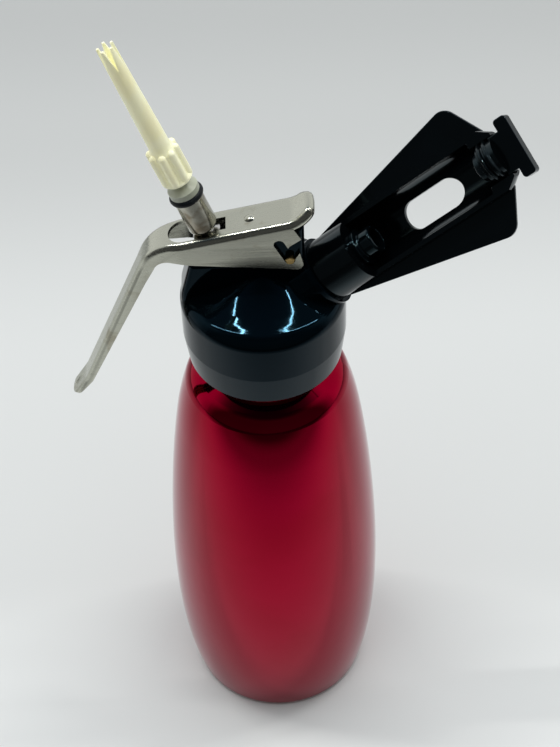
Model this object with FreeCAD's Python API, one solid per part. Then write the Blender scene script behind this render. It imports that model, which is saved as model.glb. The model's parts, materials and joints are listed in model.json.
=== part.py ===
"""Whipped cream dispenser, one litre, as separate solids in millimetres.

The bottle stands on z = 0 with its axis on +Z. The outlet and the lever's handle
point towards -X, the charger holder towards +X, and XZ is the plane of symmetry.
"""
import FreeCAD, Part
import math
import os
from FreeCAD import Matrix, Vector

os.makedirs("parts", exist_ok=True)

# ---------------------------------------------------------------- clearances
RUN_GAP = 0.05          # radial gap of a running fit or of a thread's crest in its bore
FACE_GAP = 0.30         # gap between faces that pass each other
CONTACT_GAP = 0.12      # gap where one piece pushes another
STEP = 1.0              # how far cutters reach past what they cut
TOUCHING = 0.01         # distance below which a point counts as on a line

# ---------------------------------------------------------------- bottle
FOOT_R = 42.0           # flat disc that the bottle stands on
FOOT_CORNER_R = 5.0
FOOT_FLARE = 12.0       # degrees that the wall flares out above the foot
BELLY_R = 52.7
BELLY_Z = 55.0
WAIST_R = 51.4          # where the belly starts to draw in
WAIST_Z = 130.0
UPPER_R = 45.4
UPPER_Z = 190.0
SHOULDER_R = 38.4       # where the shoulder starts to turn in to the neck
SHOULDER_Z = 223.5
SHOULDER_LEAN = 18.0    # degrees that the wall leans in there
SHOULDER_TURN_R = 13.0
NECK_FOOT_LEAN = 60.0   # degrees that the flat ledge around the neck leans in
BOTTLE_WALL = 2.0
NECK_CREST_R = 30.0
NECK_THREAD_DEPTH = 1.3
NECK_THREAD_PITCH = 3.5
NECK_THREAD_TURNS = 2.5
NECK_WALL = 3.0
NECK_TOP_Z = 262.0
NECK_THREAD_DROP = 12.4  # from the mouth down to the thread's first crest

# ---------------------------------------------------------------- head
SKIRT_COVER = 18.6      # from the rim up to the bottle's mouth
HEAD_RIM_R = 35.3
HEAD_SKIRT_R = 37.1
HEAD_BAND_H = 15.6      # height of the tapered band at the rim
HEAD_SKIRT_H = 33.4     # height of the skirt up to its rounded shoulder
HEAD_SHOULDER_R = 7.0
BELL_FOOT_SLOPE = 17.0  # degrees, where the bell leaves the skirt's rounded shoulder
BELL_TOP_SLOPE = 30.0   # degrees, where the bell meets the tower
BELL_TOP_R = 7.2
GASKET_T = 2.5
GASKET_IN_R = 25.6
GASKET_OUT_R = 29.4
HEAD_CAVITY_R = 23.0
HEAD_CAVITY_H = 5.5
SKIRT_RELIEF_R = 32.6
SKIRT_RELIEF_H = 3.4

TOWER_HALF_T = 7.6
TOWER_LEFT_X = -31.2
TOWER_LEFT_FOOT_X = -36.1
TOWER_FLARE_H = 19.5    # where the tower's left end runs out into the skirt
TOWER_FLARE_R = 22.0
TOWER_EDGE_R = 2.4      # rounding of the left end's upright edges
TOWER_FOOT_H = 7.5      # heights above the sealing plane, which is the gasket's top
TOWER_DECK_H = 38.5     # top of the tower around the valve
TOWER_STEP_X = -9.5
TOWER_REAR_X = 18.8
TOWER_CORNER_R = 1.6

# ---------------------------------------------------------------- lever
PIN_X = 12.4
PIN_H = 41.3            # pin's axis above the sealing plane
PIN_R = 2.0
PIN_PROUD = 0.8         # how far the pin's ends stand out of the lever
PIN_CHAMFER = 0.3
SHEET = 1.5
LEVER_HALF_W = 9.5
LEVER_TRAVEL = 8.0      # degrees
PLATE_SLOPE = 12.0      # degrees, rising towards the pin
PLATE_RISE = 19.8       # from the pin's axis up to the plate's top face
PLATE_REAR_U = 4.6
BEND_U = -47.5
PLATE_FRONT_U = -43.5   # where the plate starts to narrow towards the handle
BEND_R = 20.0
HANDLE_TURN = 54.7      # degrees between plate and handle
HANDLE_LEN = 79.0
HANDLE_HALF_W = 6.0
HANDLE_TIP_LEN = 14.2
HANDLE_TIP_KICK = 9.0   # degrees that the tip turns outwards
HANDLE_TIP_HALF_W = 6.6
HANDLE_DEPTH_ROOT = 6.4
HANDLE_DEPTH_END = 3.2
LEVER_EDGE_R = 2.7
FLANGE_LOW_REAR = -5.6  # flange's lower edge at the pin, below the pin's axis
FLANGE_LOW_FRONT = 10.4
FLANGE_FRONT_U = -49.5
FLANGE_BEND_RISE = 1.45  # how far the flange's edge curves in where it meets the handle
HOOK_U = 5.0            # from the pin to the hook's rear edge
HOOK_TOP = 2.9
FLANGE_TIP_U = 7.3
FLANGE_TIP_W = 10.4
FLANGE_CORNER_R = 3.0
LOBE_U = -2.5
LOBE_W = 10.0
LOBE_R = 2.35
NOTCH_PEAK_U = 1.7
NOTCH_PEAK_W = 7.9
SLOT_END_U = -23.3
SLOT_HALF_W = 3.75
SLOT_WIDE_R = 6.65
SLOT_WIDE_U = -42.3
SLOT_WIDE_END_U = -37.2
TAB_RISE_ANGLE = 30.0
TAB_ROOT_R = 5.0
TAB_RISE_LEN = 5.1
TAB_ROLL_R = 3.2
TAB_ROLL_END = -95.0    # degrees, the direction in which the rolled tab ends
TAB_HALF_W = 8.9
RIVET_U = -12.7
RIVET_HEAD_R = 2.5
RIVET_HEAD_H = 1.1
RIVET_R = 1.5
RIVET_REACH = 2.4       # how far the shank goes into the stop block
BLOCK_T = 3.0
BLOCK_LEN = 9.0
BLOCK_HALF_W = 5.0
BLOCK_CORNER_R = 0.6

# ---------------------------------------------------------------- valve and outlet
STEM_TILT = 18.6        # degrees that the stem leans towards -X
STEM_FOOT_X = -5.5      # where the stem's axis crosses the sealing plane of the head
STEM_R = 4.4
STEM_NECK_R = 3.4
STEM_BORE_R = 2.2
STEM_BOTTOM_A = -7.0
STEM_SHOULDER_A = 21.0
STEM_PORT_A = 1.2
STEM_PORT_R = 1.3
STEM_BORE_FLOOR_A = STEM_PORT_A - 1.5 * STEM_PORT_R  # the bore ends just below the ports
VALVE_SEAT_A = -1.0
VALVE_BOSS_R = 9.0
VALVE_GASKET_T = 2.0
VALVE_GASKET_R = 7.4
VALVE_NUT_T = 3.0
VALVE_NUT_FLAT = 6.3    # from the axis to each wrench flat
STEM_RING_A = 12.0
STEM_RING_MINOR = 0.75
SPRING_POCKET_A = 24.0
SPRING_POCKET_R = 5.6
SPRING_WASHER_T = 0.8
SPRING_WIRE_R = 0.55
SPRING_WIRE_SIDES = 12
SPRING_MEAN_R = 4.55
SPRING_TURNS = 8
COLLAR_R = 6.2
COLLAR_T = 4.0
COLLAR_CONE = 0.4       # fall of the collar's top face from neck to rim
TUBE_R = 6.5
TUBE_BORE_R = 4.2
TUBE_LEN = 17.6
TUBE_LIFT = 0.95        # from the lever's top face up to the tube's lower end
TUBE_FOOT_R = 1.6
TUBE_NECK_LEN = 6.0     # how far the stem's neck reaches into the tube
RING_MINOR = 1.7
RING_OUT_R = 7.6
ADAPTER_COLLAR_R = 6.7
ADAPTER_COLLAR_T = 4.3
ADAPTER_NECK_R = 3.75
ADAPTER_NECK_LEN = 3.2
ADAPTER_NECK_FILLET = 0.7
ADAPTER_CONE_LEN = 1.6  # cone between the collar's rim and the neck
ADAPTER_THREAD_R = 4.6
ADAPTER_THREAD_DEPTH = 0.6
ADAPTER_THREAD_PITCH = 2.0
ADAPTER_THREAD_LEN = 12.0
ADAPTER_SHANK_LEN = 9.0
ADAPTER_BORE_R = 2.2
TIP_BASE_R = 6.3
TIP_BASE_TOP_R = 5.9
TIP_BASE_LEN = 18.6
TIP_CHAMFER = 0.8
TIP_SHOULDER = 2.0      # cone between the ribbed base and the slender part
TIP_RIBS = 8
TIP_RIB_R = 1.5
TIP_RIB_OUT_R = 7.3     # from the axis to the crest of a rib
TIP_ROOT_R = 4.6
TIP_END_R = 3.75
TIP_LEN = 53.6          # slender part above the ribbed base
TIP_WALL = 1.1
TIP_TEETH = 5
TIP_TOOTH_LEN = 9.0
TIP_NOTCH_SHARE = 0.75  # notch's width at the mouth, as a share of one tooth's pitch

# ---------------------------------------------------------------- gas inlet and holder
HOLDER_X = 29.0         # centre of the port's outer face
HOLDER_H = 25.1         # and its height above the sealing plane
HOLDER_RISE = 40.9      # degrees that the holder's axis rises towards +X
HOLDER_ROLL = 45.0      # degrees that the open side is turned from up to -Y
PORT_BOSS_R = 14.4
PORT_FLANGE_R = 16.0
PORT_FLANGE_T = 2.2
PORT_BOSS_LEN = 27.0
PORT_BORE_R = 8.0
PORT_BORE_LEN = 13.0
PORT_TAIL_R = 4.2
PORT_TAIL_LEN = 11.0
GAS_DRILL_R = 1.5
FITTING_THREAD_R = 11.0
FITTING_THREAD_LEN = 13.7
FITTING_SPIGOT_R = 6.9
FITTING_SPIGOT_LEN = 2.0
FITTING_BORE_R = 4.9
FITTING_BORE_LEN = 9.0
FITTING_NIPPLE_R = 2.4
FITTING_NIPPLE_LEN = 9.0
FITTING_NIPPLE_WALL = 2.0  # closed end of the nipple
FITTING_VENT_R = 0.8
FITTING_VENT_UP = 3.2   # from the nipple's end up to its cross vent
FITTING_THREAD_DEPTH = 0.9
FITTING_THREAD_PITCH = 2.5
FITTING_SEAL_T = 1.2
SLEEVE_WALL = 1.1
SLEEVE_LEN = 6.5
SLEEVE_DROP = 1.5       # from the fitting's shoulder down to the sleeve
PIERCER_R = 1.2
PIERCER_DISC_T = 2.0
PIERCER_BORE_R = 0.5
PIERCER_LIFT = 0.5      # from the fitting's bore floor up to the disc
PIERCER_REACH = 2.4     # how far the point stands out of the seal
PIERCER_CONE_LEN = 2.5
CHARGER_SEAL_T = 2.1
CHARGER_SEAL_IN_R = 3.0
CHARGER_NECK_R = 4.9
RETAINER_R = 8.6
RETAINER_LEN = 7.0
NOSE_R = 6.6
NOSE_LEN = 7.0
NOSE_EDGE_R = 1.2
NOSE_FOOT = 0.8         # fall of the cone between the cap's face and the nose

COLLAR_LEN = 19.2
HOLDER_R = 14.2
HOLDER_WALL = 2.0
HOLDER_CUT_N = 2.6      # height of the rails' top faces above the holder's axis
NUT_START_S = 84.8
HOLDER_LEN = 96.3
HOLDER_CONE_S = 91.3     # where the nut's outside starts to narrow
HOLDER_CONE_R = 10.7    # outside radius at the nut's end
WINDOW_START_S = 45.5
WINDOW_END_S = 62.9
WINDOW_R = 6.5
WING_T = 2.0
WING_N = -3.0
WING_START_S = 2.7
WING_START_W = 14.6
WING_WIDE_S = 82.7
WING_WIDE_W = 31.1
WING_END_S = 92.4
WING_END_W = 13.5
WING_CORNER_R = 6.4
WING_EDGE_R = 0.5

SCREW_CREST_R = 9.4
SCREW_THREAD_DEPTH = 1.1
SCREW_PITCH = 2.8
SCREW_START_S = 87.5
SCREW_SHANK_END_S = 95.4
KEY_HALF_T = 2.8
KEY_STEM_HALF_W = 8.8
KEY_BAR_S = 99.5
KEY_BAR_HALF_W = 13.6
KEY_BAR_LEN = 6.0
KEY_CORNER_R = 1.6
KEY_EDGE_R = 0.6
PAD_R = 6.0
PAD_T = 3.4
PAD_EDGE_R = 1.0
PAD_STUD_R = 2.4
PAD_STUD_LEN = 3.6

# ---------------------------------------------------------------- derived places
RIM_Z = NECK_TOP_Z - SKIRT_COVER
CEILING_Z = NECK_TOP_Z + GASKET_T
TOWER_FOOT_Z = CEILING_Z + TOWER_FOOT_H
TOWER_FLARE_Z = CEILING_Z + TOWER_FLARE_H
TOWER_DECK_Z = CEILING_Z + TOWER_DECK_H
PIN_Z = CEILING_Z + PIN_H
HOLDER_Z = CEILING_Z + HOLDER_H
CAVITY_Z = CEILING_Z + HEAD_CAVITY_H
BORE_R = NECK_CREST_R + RUN_GAP


def along(angle):
    """Unit vector in the XZ plane at an angle in degrees from +X towards +Z."""
    return Vector(math.cos(math.radians(angle)), 0, math.sin(math.radians(angle)))


class Frame:
    """A local frame: x, y and z axes of a sub-assembly in the model's frame."""

    def __init__(self, origin, x_axis, y_axis, z_axis):
        self.origin = origin
        self.x = x_axis
        self.y = y_axis
        self.z = z_axis
        self.matrix = Matrix(
            x_axis.x, y_axis.x, z_axis.x, origin.x,
            x_axis.y, y_axis.y, z_axis.y, origin.y,
            x_axis.z, y_axis.z, z_axis.z, origin.z,
            0, 0, 0, 1)

    def place(self, shape):
        """Return the shape, drawn in this frame, in the model's frame."""
        return shape.transformed(self.matrix, True)


def stem_frame():
    """Frame of the valve: z up the stem, y across the object, x towards the holder."""
    up = along(90 + STEM_TILT)
    return Frame(Vector(STEM_FOOT_X, 0, CEILING_Z), along(STEM_TILT), Vector(0, 1, 0), up)


def holder_frame():
    """Frame of the gas inlet: z out along the holder, y out of its open side."""
    out = along(HOLDER_RISE)
    up = along(90 + HOLDER_RISE)
    roll = math.radians(HOLDER_ROLL)
    open_side = up * math.cos(roll) - Vector(0, 1, 0) * math.sin(roll)
    return Frame(Vector(HOLDER_X, 0, HOLDER_Z), open_side.cross(out), open_side, out)


def lever_frame():
    """Frame of the lever: origin on the pin, x along the plate, z its normal."""
    return Frame(Vector(PIN_X, 0, PIN_Z), along(PLATE_SLOPE), Vector(0, 1, 0), along(90 + PLATE_SLOPE))


STEM = stem_frame()
HOLDER = holder_frame()
LEVER = lever_frame()


# ---------------------------------------------------------------- drawing helpers
def rz(radius, height):
    """A point of a turned section."""
    return Vector(radius, 0, height)


def line(start, end):
    return Part.LineSegment(start, end).toShape()


def arc(start, middle, end):
    return Part.Arc(start, middle, end).toShape()


def polygon_edges(points):
    """Straight edges through the points, in order."""
    return [line(a, b) for a, b in zip(points, points[1:])]


def turned(edges):
    """Solid of revolution about Z from the edges of a closed section."""
    section = Part.Face(Part.Wire(Part.__sortEdges__(edges)))
    return section.revolve(Vector(), Vector(0, 0, 1), 360)


def turned_polygon(points):
    return turned(polygon_edges(points + points[:1]))


def rod(radius, start, end):
    """Cylinder on the local Z axis between two heights."""
    return Part.makeCylinder(radius, end - start, Vector(0, 0, start))


def cross_rod(radius, half_length, x, z):
    """Cylinder across the XZ plane, to both sides of it."""
    return Part.makeCylinder(radius, 2 * half_length, Vector(x, -half_length, z), Vector(0, 1, 0))


def tube(outer, inner, start, end):
    return rod(outer, start, end).cut(rod(inner, start - STEP, end + STEP))


def prism_y(edges, half_width):
    """Extrude a closed XZ outline to both sides of the XZ plane."""
    face = Part.Face(Part.Wire(Part.__sortEdges__(edges)))
    face.translate(Vector(0, -half_width, 0))
    return face.extrude(Vector(0, 2 * half_width, 0))


def prism_z(edges, start, end):
    """Extrude a closed XY outline between two heights."""
    face = Part.Face(Part.Wire(Part.__sortEdges__(edges)))
    face.translate(Vector(0, 0, start))
    return face.extrude(Vector(0, 0, end - start))


def slot_edges(first, last, radius):
    """Outline in XY of a slot along X with round ends."""
    top_first, top_last = Vector(first, radius, 0), Vector(last, radius, 0)
    low_first, low_last = Vector(first, -radius, 0), Vector(last, -radius, 0)
    return [line(top_first, top_last), arc(top_last, Vector(last + radius, 0, 0), low_last),
            line(low_last, low_first), arc(low_first, Vector(first - radius, 0, 0), top_first)]


def torus(major, minor, height):
    return Part.makeTorus(major, minor, Vector(0, 0, height))


def thread_ridge(crest, depth, pitch, start, end):
    """Helical ridge of a round-topped thread, trimmed square at both ends."""
    core = crest - depth
    helix = Part.makeHelix(pitch, end - start, core)
    helix.translate(Vector(0, 0, start))
    top, sink = 0.12 * pitch, 0.3 * depth
    foot = 0.40 * pitch + 0.28 * pitch * sink / depth
    corners = [Vector(core - sink, 0, start - foot), Vector(crest, 0, start - top),
               Vector(crest, 0, start + top), Vector(core - sink, 0, start + foot)]
    ridge = Part.Wire([helix]).makePipeShell([Part.makePolygon(corners + corners[:1])], True, True)
    if ridge.Volume < 0:
        ridge.reverse()
    return ridge


def threaded_rod(crest, depth, pitch, start, end):
    """Rod with a helical thread over its whole length."""
    ridge = thread_ridge(crest, depth, pitch, start + 0.5 * pitch, end - 0.5 * pitch)
    return rod(crest - depth, start, end).fuse(ridge)


def one_solid(shape):
    """The single clean solid of a finished shape."""
    clean = shape.removeSplitter()
    solids = clean.Solids
    if len(solids) != 1:
        raise ValueError("expected one solid, found %d" % len(solids))
    return solids[0]


def edges_where(shape, test):
    return [edge for edge in shape.Edges if test(edge)]


# ---------------------------------------------------------------- bottle
def bottle_section(inset, end_r):
    """Foot corner, wall and shoulder, drawn inwards by an inset up to a radius, with both end points."""
    flare = math.radians(FOOT_FLARE)
    lean = math.radians(SHOULDER_LEAN)
    ledge = math.radians(NECK_FOOT_LEAN)
    corner = FOOT_CORNER_R - inset
    turn_mid = math.pi / 4 + flare / 2
    foot_start = rz(FOOT_R, inset)
    foot_middle = rz(FOOT_R + corner * math.cos(turn_mid), FOOT_CORNER_R - corner * math.sin(turn_mid))
    foot_end = rz(FOOT_R + corner * math.cos(flare), FOOT_CORNER_R - corner * math.sin(flare))
    turn_r = SHOULDER_TURN_R - inset
    centre = rz(SHOULDER_R - SHOULDER_TURN_R * math.cos(lean), SHOULDER_Z - SHOULDER_TURN_R * math.sin(lean))

    def on_turn(angle):
        """Point of the rounded shoulder where it leans in by an angle."""
        return centre + rz(math.cos(angle), math.sin(angle)) * turn_r

    turn_start, turn_end = on_turn(lean), on_turn(ledge)
    neck_foot = rz(end_r, turn_end.z + (turn_end.x - end_r) / math.tan(ledge))
    wall = Part.BSplineCurve()
    wall.interpolate(
        Points=[foot_end, rz(BELLY_R - inset, BELLY_Z), rz(WAIST_R - inset, WAIST_Z),
                rz(UPPER_R - inset, UPPER_Z), turn_start],
        InitialTangent=rz(math.sin(flare), math.cos(flare)),
        FinalTangent=rz(-math.sin(lean), math.cos(lean)))
    turn = arc(turn_start, on_turn((lean + ledge) / 2), turn_end)
    edges = [arc(foot_start, foot_middle, foot_end), wall.toShape(), turn, line(turn_end, neck_foot)]
    return edges, foot_start, neck_foot


def make_bottle():
    """Drawn aluminium bottle with its threaded neck."""
    neck_core_r = NECK_CREST_R - NECK_THREAD_DEPTH
    neck_in_r = neck_core_r - NECK_WALL
    outer, foot, neck_foot = bottle_section(0, neck_core_r)
    outside = turned(outer + polygon_edges([neck_foot, rz(neck_core_r, NECK_TOP_Z), rz(0, NECK_TOP_Z),
                                            rz(0, foot.z), foot]))
    inner, floor, throat = bottle_section(BOTTLE_WALL, neck_in_r)
    mouth_z = NECK_TOP_Z + STEP
    inside = turned(inner + polygon_edges([throat, rz(neck_in_r, mouth_z), rz(0, mouth_z),
                                           rz(0, floor.z), floor]))
    thread_z = NECK_TOP_Z - NECK_THREAD_DROP
    thread = thread_ridge(NECK_CREST_R, NECK_THREAD_DEPTH, NECK_THREAD_PITCH, thread_z,
                          thread_z + NECK_THREAD_TURNS * NECK_THREAD_PITCH)
    return one_solid(outside.cut(inside).fuse(thread))


# ---------------------------------------------------------------- head
def head_shell():
    """Skirt, rounded shoulder and hollow bell, with the bore for the bottle's neck."""
    band_z = RIM_Z + HEAD_BAND_H
    skirt_z = RIM_Z + HEAD_SKIRT_H
    low, high = math.radians(BELL_FOOT_SLOPE), math.radians(BELL_TOP_SLOPE)
    centre_r = HEAD_SKIRT_R - HEAD_SHOULDER_R
    half_turn = (math.pi / 2 - low) / 2

    def on_shoulder(turn):
        """Point of the rounded shoulder after a turn from the upright skirt."""
        return rz(centre_r + HEAD_SHOULDER_R * math.cos(turn), skirt_z + HEAD_SHOULDER_R * math.sin(turn))

    foot = on_shoulder(math.pi / 2 - low)
    bell_r = (foot.x - BELL_TOP_R) / (math.sin(high) - math.sin(low))

    def on_bell(slope):
        """Point of the bell's hollow curve where it has a given slope."""
        run = bell_r * (math.sin(slope) - math.sin(low))
        return rz(foot.x - run, foot.z + bell_r * (math.cos(low) - math.cos(slope)))

    top = on_bell(high)
    edges = polygon_edges([top, rz(0, top.z), rz(0, CAVITY_Z), rz(HEAD_CAVITY_R, CAVITY_Z),
                           rz(HEAD_CAVITY_R, CEILING_Z), rz(BORE_R, CEILING_Z),
                           rz(BORE_R, RIM_Z + SKIRT_RELIEF_H), rz(SKIRT_RELIEF_R, RIM_Z + SKIRT_RELIEF_H),
                           rz(SKIRT_RELIEF_R, RIM_Z), rz(HEAD_RIM_R, RIM_Z), rz(HEAD_SKIRT_R, band_z),
                           rz(HEAD_SKIRT_R, skirt_z)])
    edges.append(arc(rz(HEAD_SKIRT_R, skirt_z), on_shoulder(half_turn), foot))
    edges.append(arc(foot, on_bell((low + high) / 2), top))
    return turned(edges)


def block_face_w():
    """Height of the stop block's lower face above the pin, along the plate's normal."""
    return PLATE_RISE - SHEET - BLOCK_T


def tower_top_z(x):
    """Height of the tower's sloping top, which meets the stop block at full squeeze."""
    slope = math.radians(PLATE_SLOPE + LEVER_TRAVEL)
    return PIN_Z + (block_face_w() - FACE_GAP + math.sin(slope) * (x - PIN_X)) / math.cos(slope)


def tower():
    """Upright web that carries the valve, the lever's pin and the gas port."""
    corners = [rz(TOWER_LEFT_FOOT_X, TOWER_FOOT_Z), rz(TOWER_LEFT_FOOT_X, TOWER_FLARE_Z),
               rz(TOWER_LEFT_X, TOWER_DECK_Z), rz(TOWER_STEP_X, TOWER_DECK_Z),
               rz(TOWER_STEP_X, tower_top_z(TOWER_STEP_X)), rz(TOWER_REAR_X, tower_top_z(TOWER_REAR_X)),
               rz(TOWER_REAR_X, TOWER_FOOT_Z)]
    web = prism_y(polygon_edges(corners + corners[:1]), TOWER_HALF_T)

    def across(low, high):
        """Test for the edges that cross the web between two heights."""
        return lambda e: e.BoundBox.YLength > TOWER_HALF_T and low < e.BoundBox.ZMin < high

    web = web.makeFillet(TOWER_CORNER_R, edges_where(web, across(TOWER_DECK_Z - STEP, PIN_Z + PLATE_RISE)))
    web = web.makeFillet(TOWER_FLARE_R, edges_where(web, across(TOWER_FLARE_Z - STEP, TOWER_FLARE_Z + STEP)))

    def upright(edge):
        """True for the edges that run up the web's left end."""
        extent = edge.BoundBox
        at_end = extent.XMax < TOWER_LEFT_X + STEP
        return at_end and extent.ZMin > TOWER_FOOT_Z + STEP and extent.YLength < STEP

    return web.makeFillet(TOWER_EDGE_R, edges_where(web, upright))


def port_boss():
    """Round boss with a thin flange, on the holder's axis."""
    boss = rod(PORT_BOSS_R, -PORT_BOSS_LEN, 0).fuse(rod(PORT_FLANGE_R, -PORT_FLANGE_T, 0))
    return HOLDER.place(boss)


def valve_bores():
    """Everything that the valve needs cut from the head."""
    top = (TOWER_DECK_Z - CEILING_Z) * 2
    bore = rod(STEM_R + RUN_GAP, VALVE_SEAT_A - STEP, top)
    pocket = rod(SPRING_POCKET_R, SPRING_POCKET_A, top)
    return STEM.place(bore.fuse(pocket))


def port_bores():
    """Threaded port, the tail that holds the check sleeve, and the gas drilling."""
    tail_end = -PORT_BORE_LEN - PORT_TAIL_LEN
    cut = rod(PORT_BORE_R, -PORT_BORE_LEN, STEP).fuse(rod(PORT_TAIL_R, tail_end, 0))
    end = HOLDER.origin + HOLDER.z * (tail_end + PORT_TAIL_R)
    drill = Part.makeCylinder(GAS_DRILL_R, end.z - CAVITY_Z + STEP, Vector(end.x, 0, CAVITY_Z - STEP))
    return HOLDER.place(cut).fuse(drill)


def make_head():
    """Moulded head: skirt, bell, tower, valve seat and gas port in one piece."""
    seat_boss = STEM.place(rod(VALVE_BOSS_R, VALVE_SEAT_A, SPRING_POCKET_A / 2))
    keep_out = rod(BORE_R, RIM_Z - STEP, CEILING_Z)
    solid = head_shell().fuse([tower(), port_boss()])
    cavity = rod(HEAD_CAVITY_R, CEILING_Z - STEP, CAVITY_Z)
    solid = solid.cut(keep_out.fuse(cavity)).fuse(seat_boss)
    solid = solid.cut([valve_bores(), port_bores()])
    return one_solid(solid.cut(cross_rod(PIN_R, 2 * TOWER_HALF_T, PIN_X, PIN_Z)))


def make_head_gasket():
    """Flat rubber ring between the bottle's mouth and the head."""
    return tube(GASKET_OUT_R, GASKET_IN_R, NECK_TOP_Z, CEILING_Z)


def make_pivot_pin():
    """Brass pin that the lever hooks onto."""
    pin = cross_rod(PIN_R, LEVER_HALF_W + PIN_PROUD, PIN_X, PIN_Z)
    return pin.makeChamfer(PIN_CHAMFER, edges_where(pin, lambda e: e.Closed))


# ---------------------------------------------------------------- lever
def lever_path(inset):
    """Outer line of plate, bend, handle and tip, moved inwards by an inset."""
    turn = math.radians(HANDLE_TURN)
    tip_turn = math.radians(HANDLE_TURN - HANDLE_TIP_KICK)
    radius = BEND_R - inset
    centre = Vector(BEND_U, 0, PLATE_RISE - BEND_R)
    start = Vector(PLATE_REAR_U, 0, PLATE_RISE - inset)
    bend_start = Vector(BEND_U, 0, PLATE_RISE - inset)
    bend_mid = centre + Vector(-math.sin(turn / 2), 0, math.cos(turn / 2)) * radius
    bend_end = centre + Vector(-math.sin(turn), 0, math.cos(turn)) * radius
    kink = bend_end + Vector(-math.cos(turn), 0, -math.sin(turn)) * HANDLE_LEN
    tip = kink + Vector(-math.cos(tip_turn), 0, -math.sin(tip_turn)) * HANDLE_TIP_LEN
    edges = [line(start, bend_start), arc(bend_start, bend_mid, bend_end)]
    edges += polygon_edges([bend_end, kink, tip])
    return edges, start, bend_end, kink, tip


def inward(angle):
    """Unit vector from the lever's outer line to its inside, after a turn in degrees."""
    return Vector(math.sin(math.radians(angle)), 0, -math.cos(math.radians(angle)))


def lever_side():
    """Closed side outline of the lever's outer form."""
    edges, start, bend_end, kink, tip = lever_path(0)
    root_in = bend_end + inward(HANDLE_TURN) * HANDLE_DEPTH_ROOT
    kink_in = kink + inward(HANDLE_TURN) * HANDLE_DEPTH_END
    tip_in = tip + inward(HANDLE_TURN - HANDLE_TIP_KICK) * SHEET
    front = Vector(FLANGE_FRONT_U, 0, FLANGE_LOW_FRONT)
    middle = (root_in + front) * 0.5 + Vector(-1, 0, 1) * FLANGE_BEND_RISE
    slope = (FLANGE_LOW_FRONT - FLANGE_LOW_REAR) / FLANGE_FRONT_U
    corner_in = Vector(HOOK_U - FLANGE_CORNER_R, 0, FLANGE_LOW_REAR + slope * (HOOK_U - FLANGE_CORNER_R))
    corner_out = Vector(HOOK_U, 0, corner_in.z + FLANGE_CORNER_R)
    reach = FLANGE_CORNER_R * (1 - math.cos(math.radians(45)))
    corner_mid = Vector(HOOK_U - reach, 0, corner_in.z + reach)
    edges += polygon_edges([tip, tip_in, kink_in, root_in])
    edges.append(arc(root_in, middle, front))
    edges.append(line(front, corner_in))
    edges.append(arc(corner_in, corner_mid, corner_out))
    edges += polygon_edges([corner_out, rz(HOOK_U, HOOK_TOP), rz(FLANGE_TIP_U, FLANGE_TIP_W), start])
    return edges


def lever_plan(inset):
    """Closed plan outline of the lever, as wide as the plate and then the handle."""
    _, _, bend_end, kink, tip = lever_path(0)
    plate_w = LEVER_HALF_W - inset
    handle_w = HANDLE_HALF_W - inset
    tip_w = HANDLE_TIP_HALF_W - inset
    far = tip.x - STEP
    rear = FLANGE_TIP_U + STEP
    neck = bend_end.x - STEP
    side = [Vector(rear, plate_w, 0), Vector(PLATE_FRONT_U, plate_w, 0), Vector(neck, handle_w, 0),
            Vector(kink.x, tip_w, 0), Vector(far, tip_w, 0)]
    other = [Vector(p.x, -p.y, 0) for p in reversed(side)]
    return polygon_edges(side + other + side[:1])


def lever_outer():
    low = -2 * HANDLE_LEN
    high = PLATE_RISE + STEP
    body = prism_y(lever_side(), LEVER_HALF_W + STEP).common(prism_z(lever_plan(0), low, high))
    top_line = lever_path(0)[0]

    def on_top(edge):
        """True for the long edges where the top faces meet the side faces."""
        if abs(edge.BoundBox.YMin) < HANDLE_HALF_W - STEP and edge.BoundBox.YMax > -STEP:
            return False
        mid = edge.valueAt((edge.FirstParameter + edge.LastParameter) / 2)
        flat = Part.Vertex(rz(mid.x, mid.z))
        near = min(run.distToShape(flat)[0] for run in top_line)
        return near < TOUCHING and edge.BoundBox.YLength < LEVER_HALF_W

    return body.makeFillet(LEVER_EDGE_R, edges_where(body, on_top))


def lever_inner():
    """What is hollow inside the folded sheet."""
    edges, start, bend_end, _, tip = lever_path(SHEET)
    drop = inward(HANDLE_TURN) * (3 * HANDLE_DEPTH_ROOT)
    rear = Vector(FLANGE_TIP_U + 2 * STEP, 0, start.z)
    low_rear = Vector(rear.x, 0, FLANGE_LOW_REAR * 3)
    points = [tip, tip + drop, bend_end + drop, Vector(BEND_U, 0, low_rear.z), low_rear, rear, start]
    body = prism_y(edges + polygon_edges(points), LEVER_HALF_W + STEP)
    return body.common(prism_z(lever_plan(SHEET), -3 * HANDLE_LEN, PLATE_RISE))


def tab_profile():
    """Rolled thumb tab behind the plate: outer line, then the same line one sheet lower."""
    rise = math.radians(TAB_RISE_ANGLE)
    end = math.radians(TAB_ROLL_END)

    def side(offset):
        root_centre = Vector(PLATE_REAR_U, 0, PLATE_RISE + TAB_ROOT_R)
        root_r = TAB_ROOT_R + offset
        roll_r = TAB_ROLL_R - offset
        start = root_centre + Vector(0, 0, -root_r)
        root_mid = root_centre + Vector(math.sin(rise / 2), 0, -math.cos(rise / 2)) * root_r
        root_end = root_centre + Vector(math.sin(rise), 0, -math.cos(rise)) * root_r
        rise_end = root_end + Vector(math.cos(rise), 0, math.sin(rise)) * TAB_RISE_LEN
        centre = rise_end + Vector(math.sin(rise), 0, -math.cos(rise)) * roll_r
        middle = (rise + end) / 2
        roll_mid = centre + Vector(-math.sin(middle), 0, math.cos(middle)) * roll_r
        roll_end = centre + Vector(-math.sin(end), 0, math.cos(end)) * roll_r
        edges = [arc(start, root_mid, root_end), line(root_end, rise_end), arc(rise_end, roll_mid, roll_end)]
        return edges, start, roll_end

    top, top_start, top_end = side(0)
    low, low_start, low_end = side(SHEET)
    return top + low + [line(top_start, low_start), line(top_end, low_end)]


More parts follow.
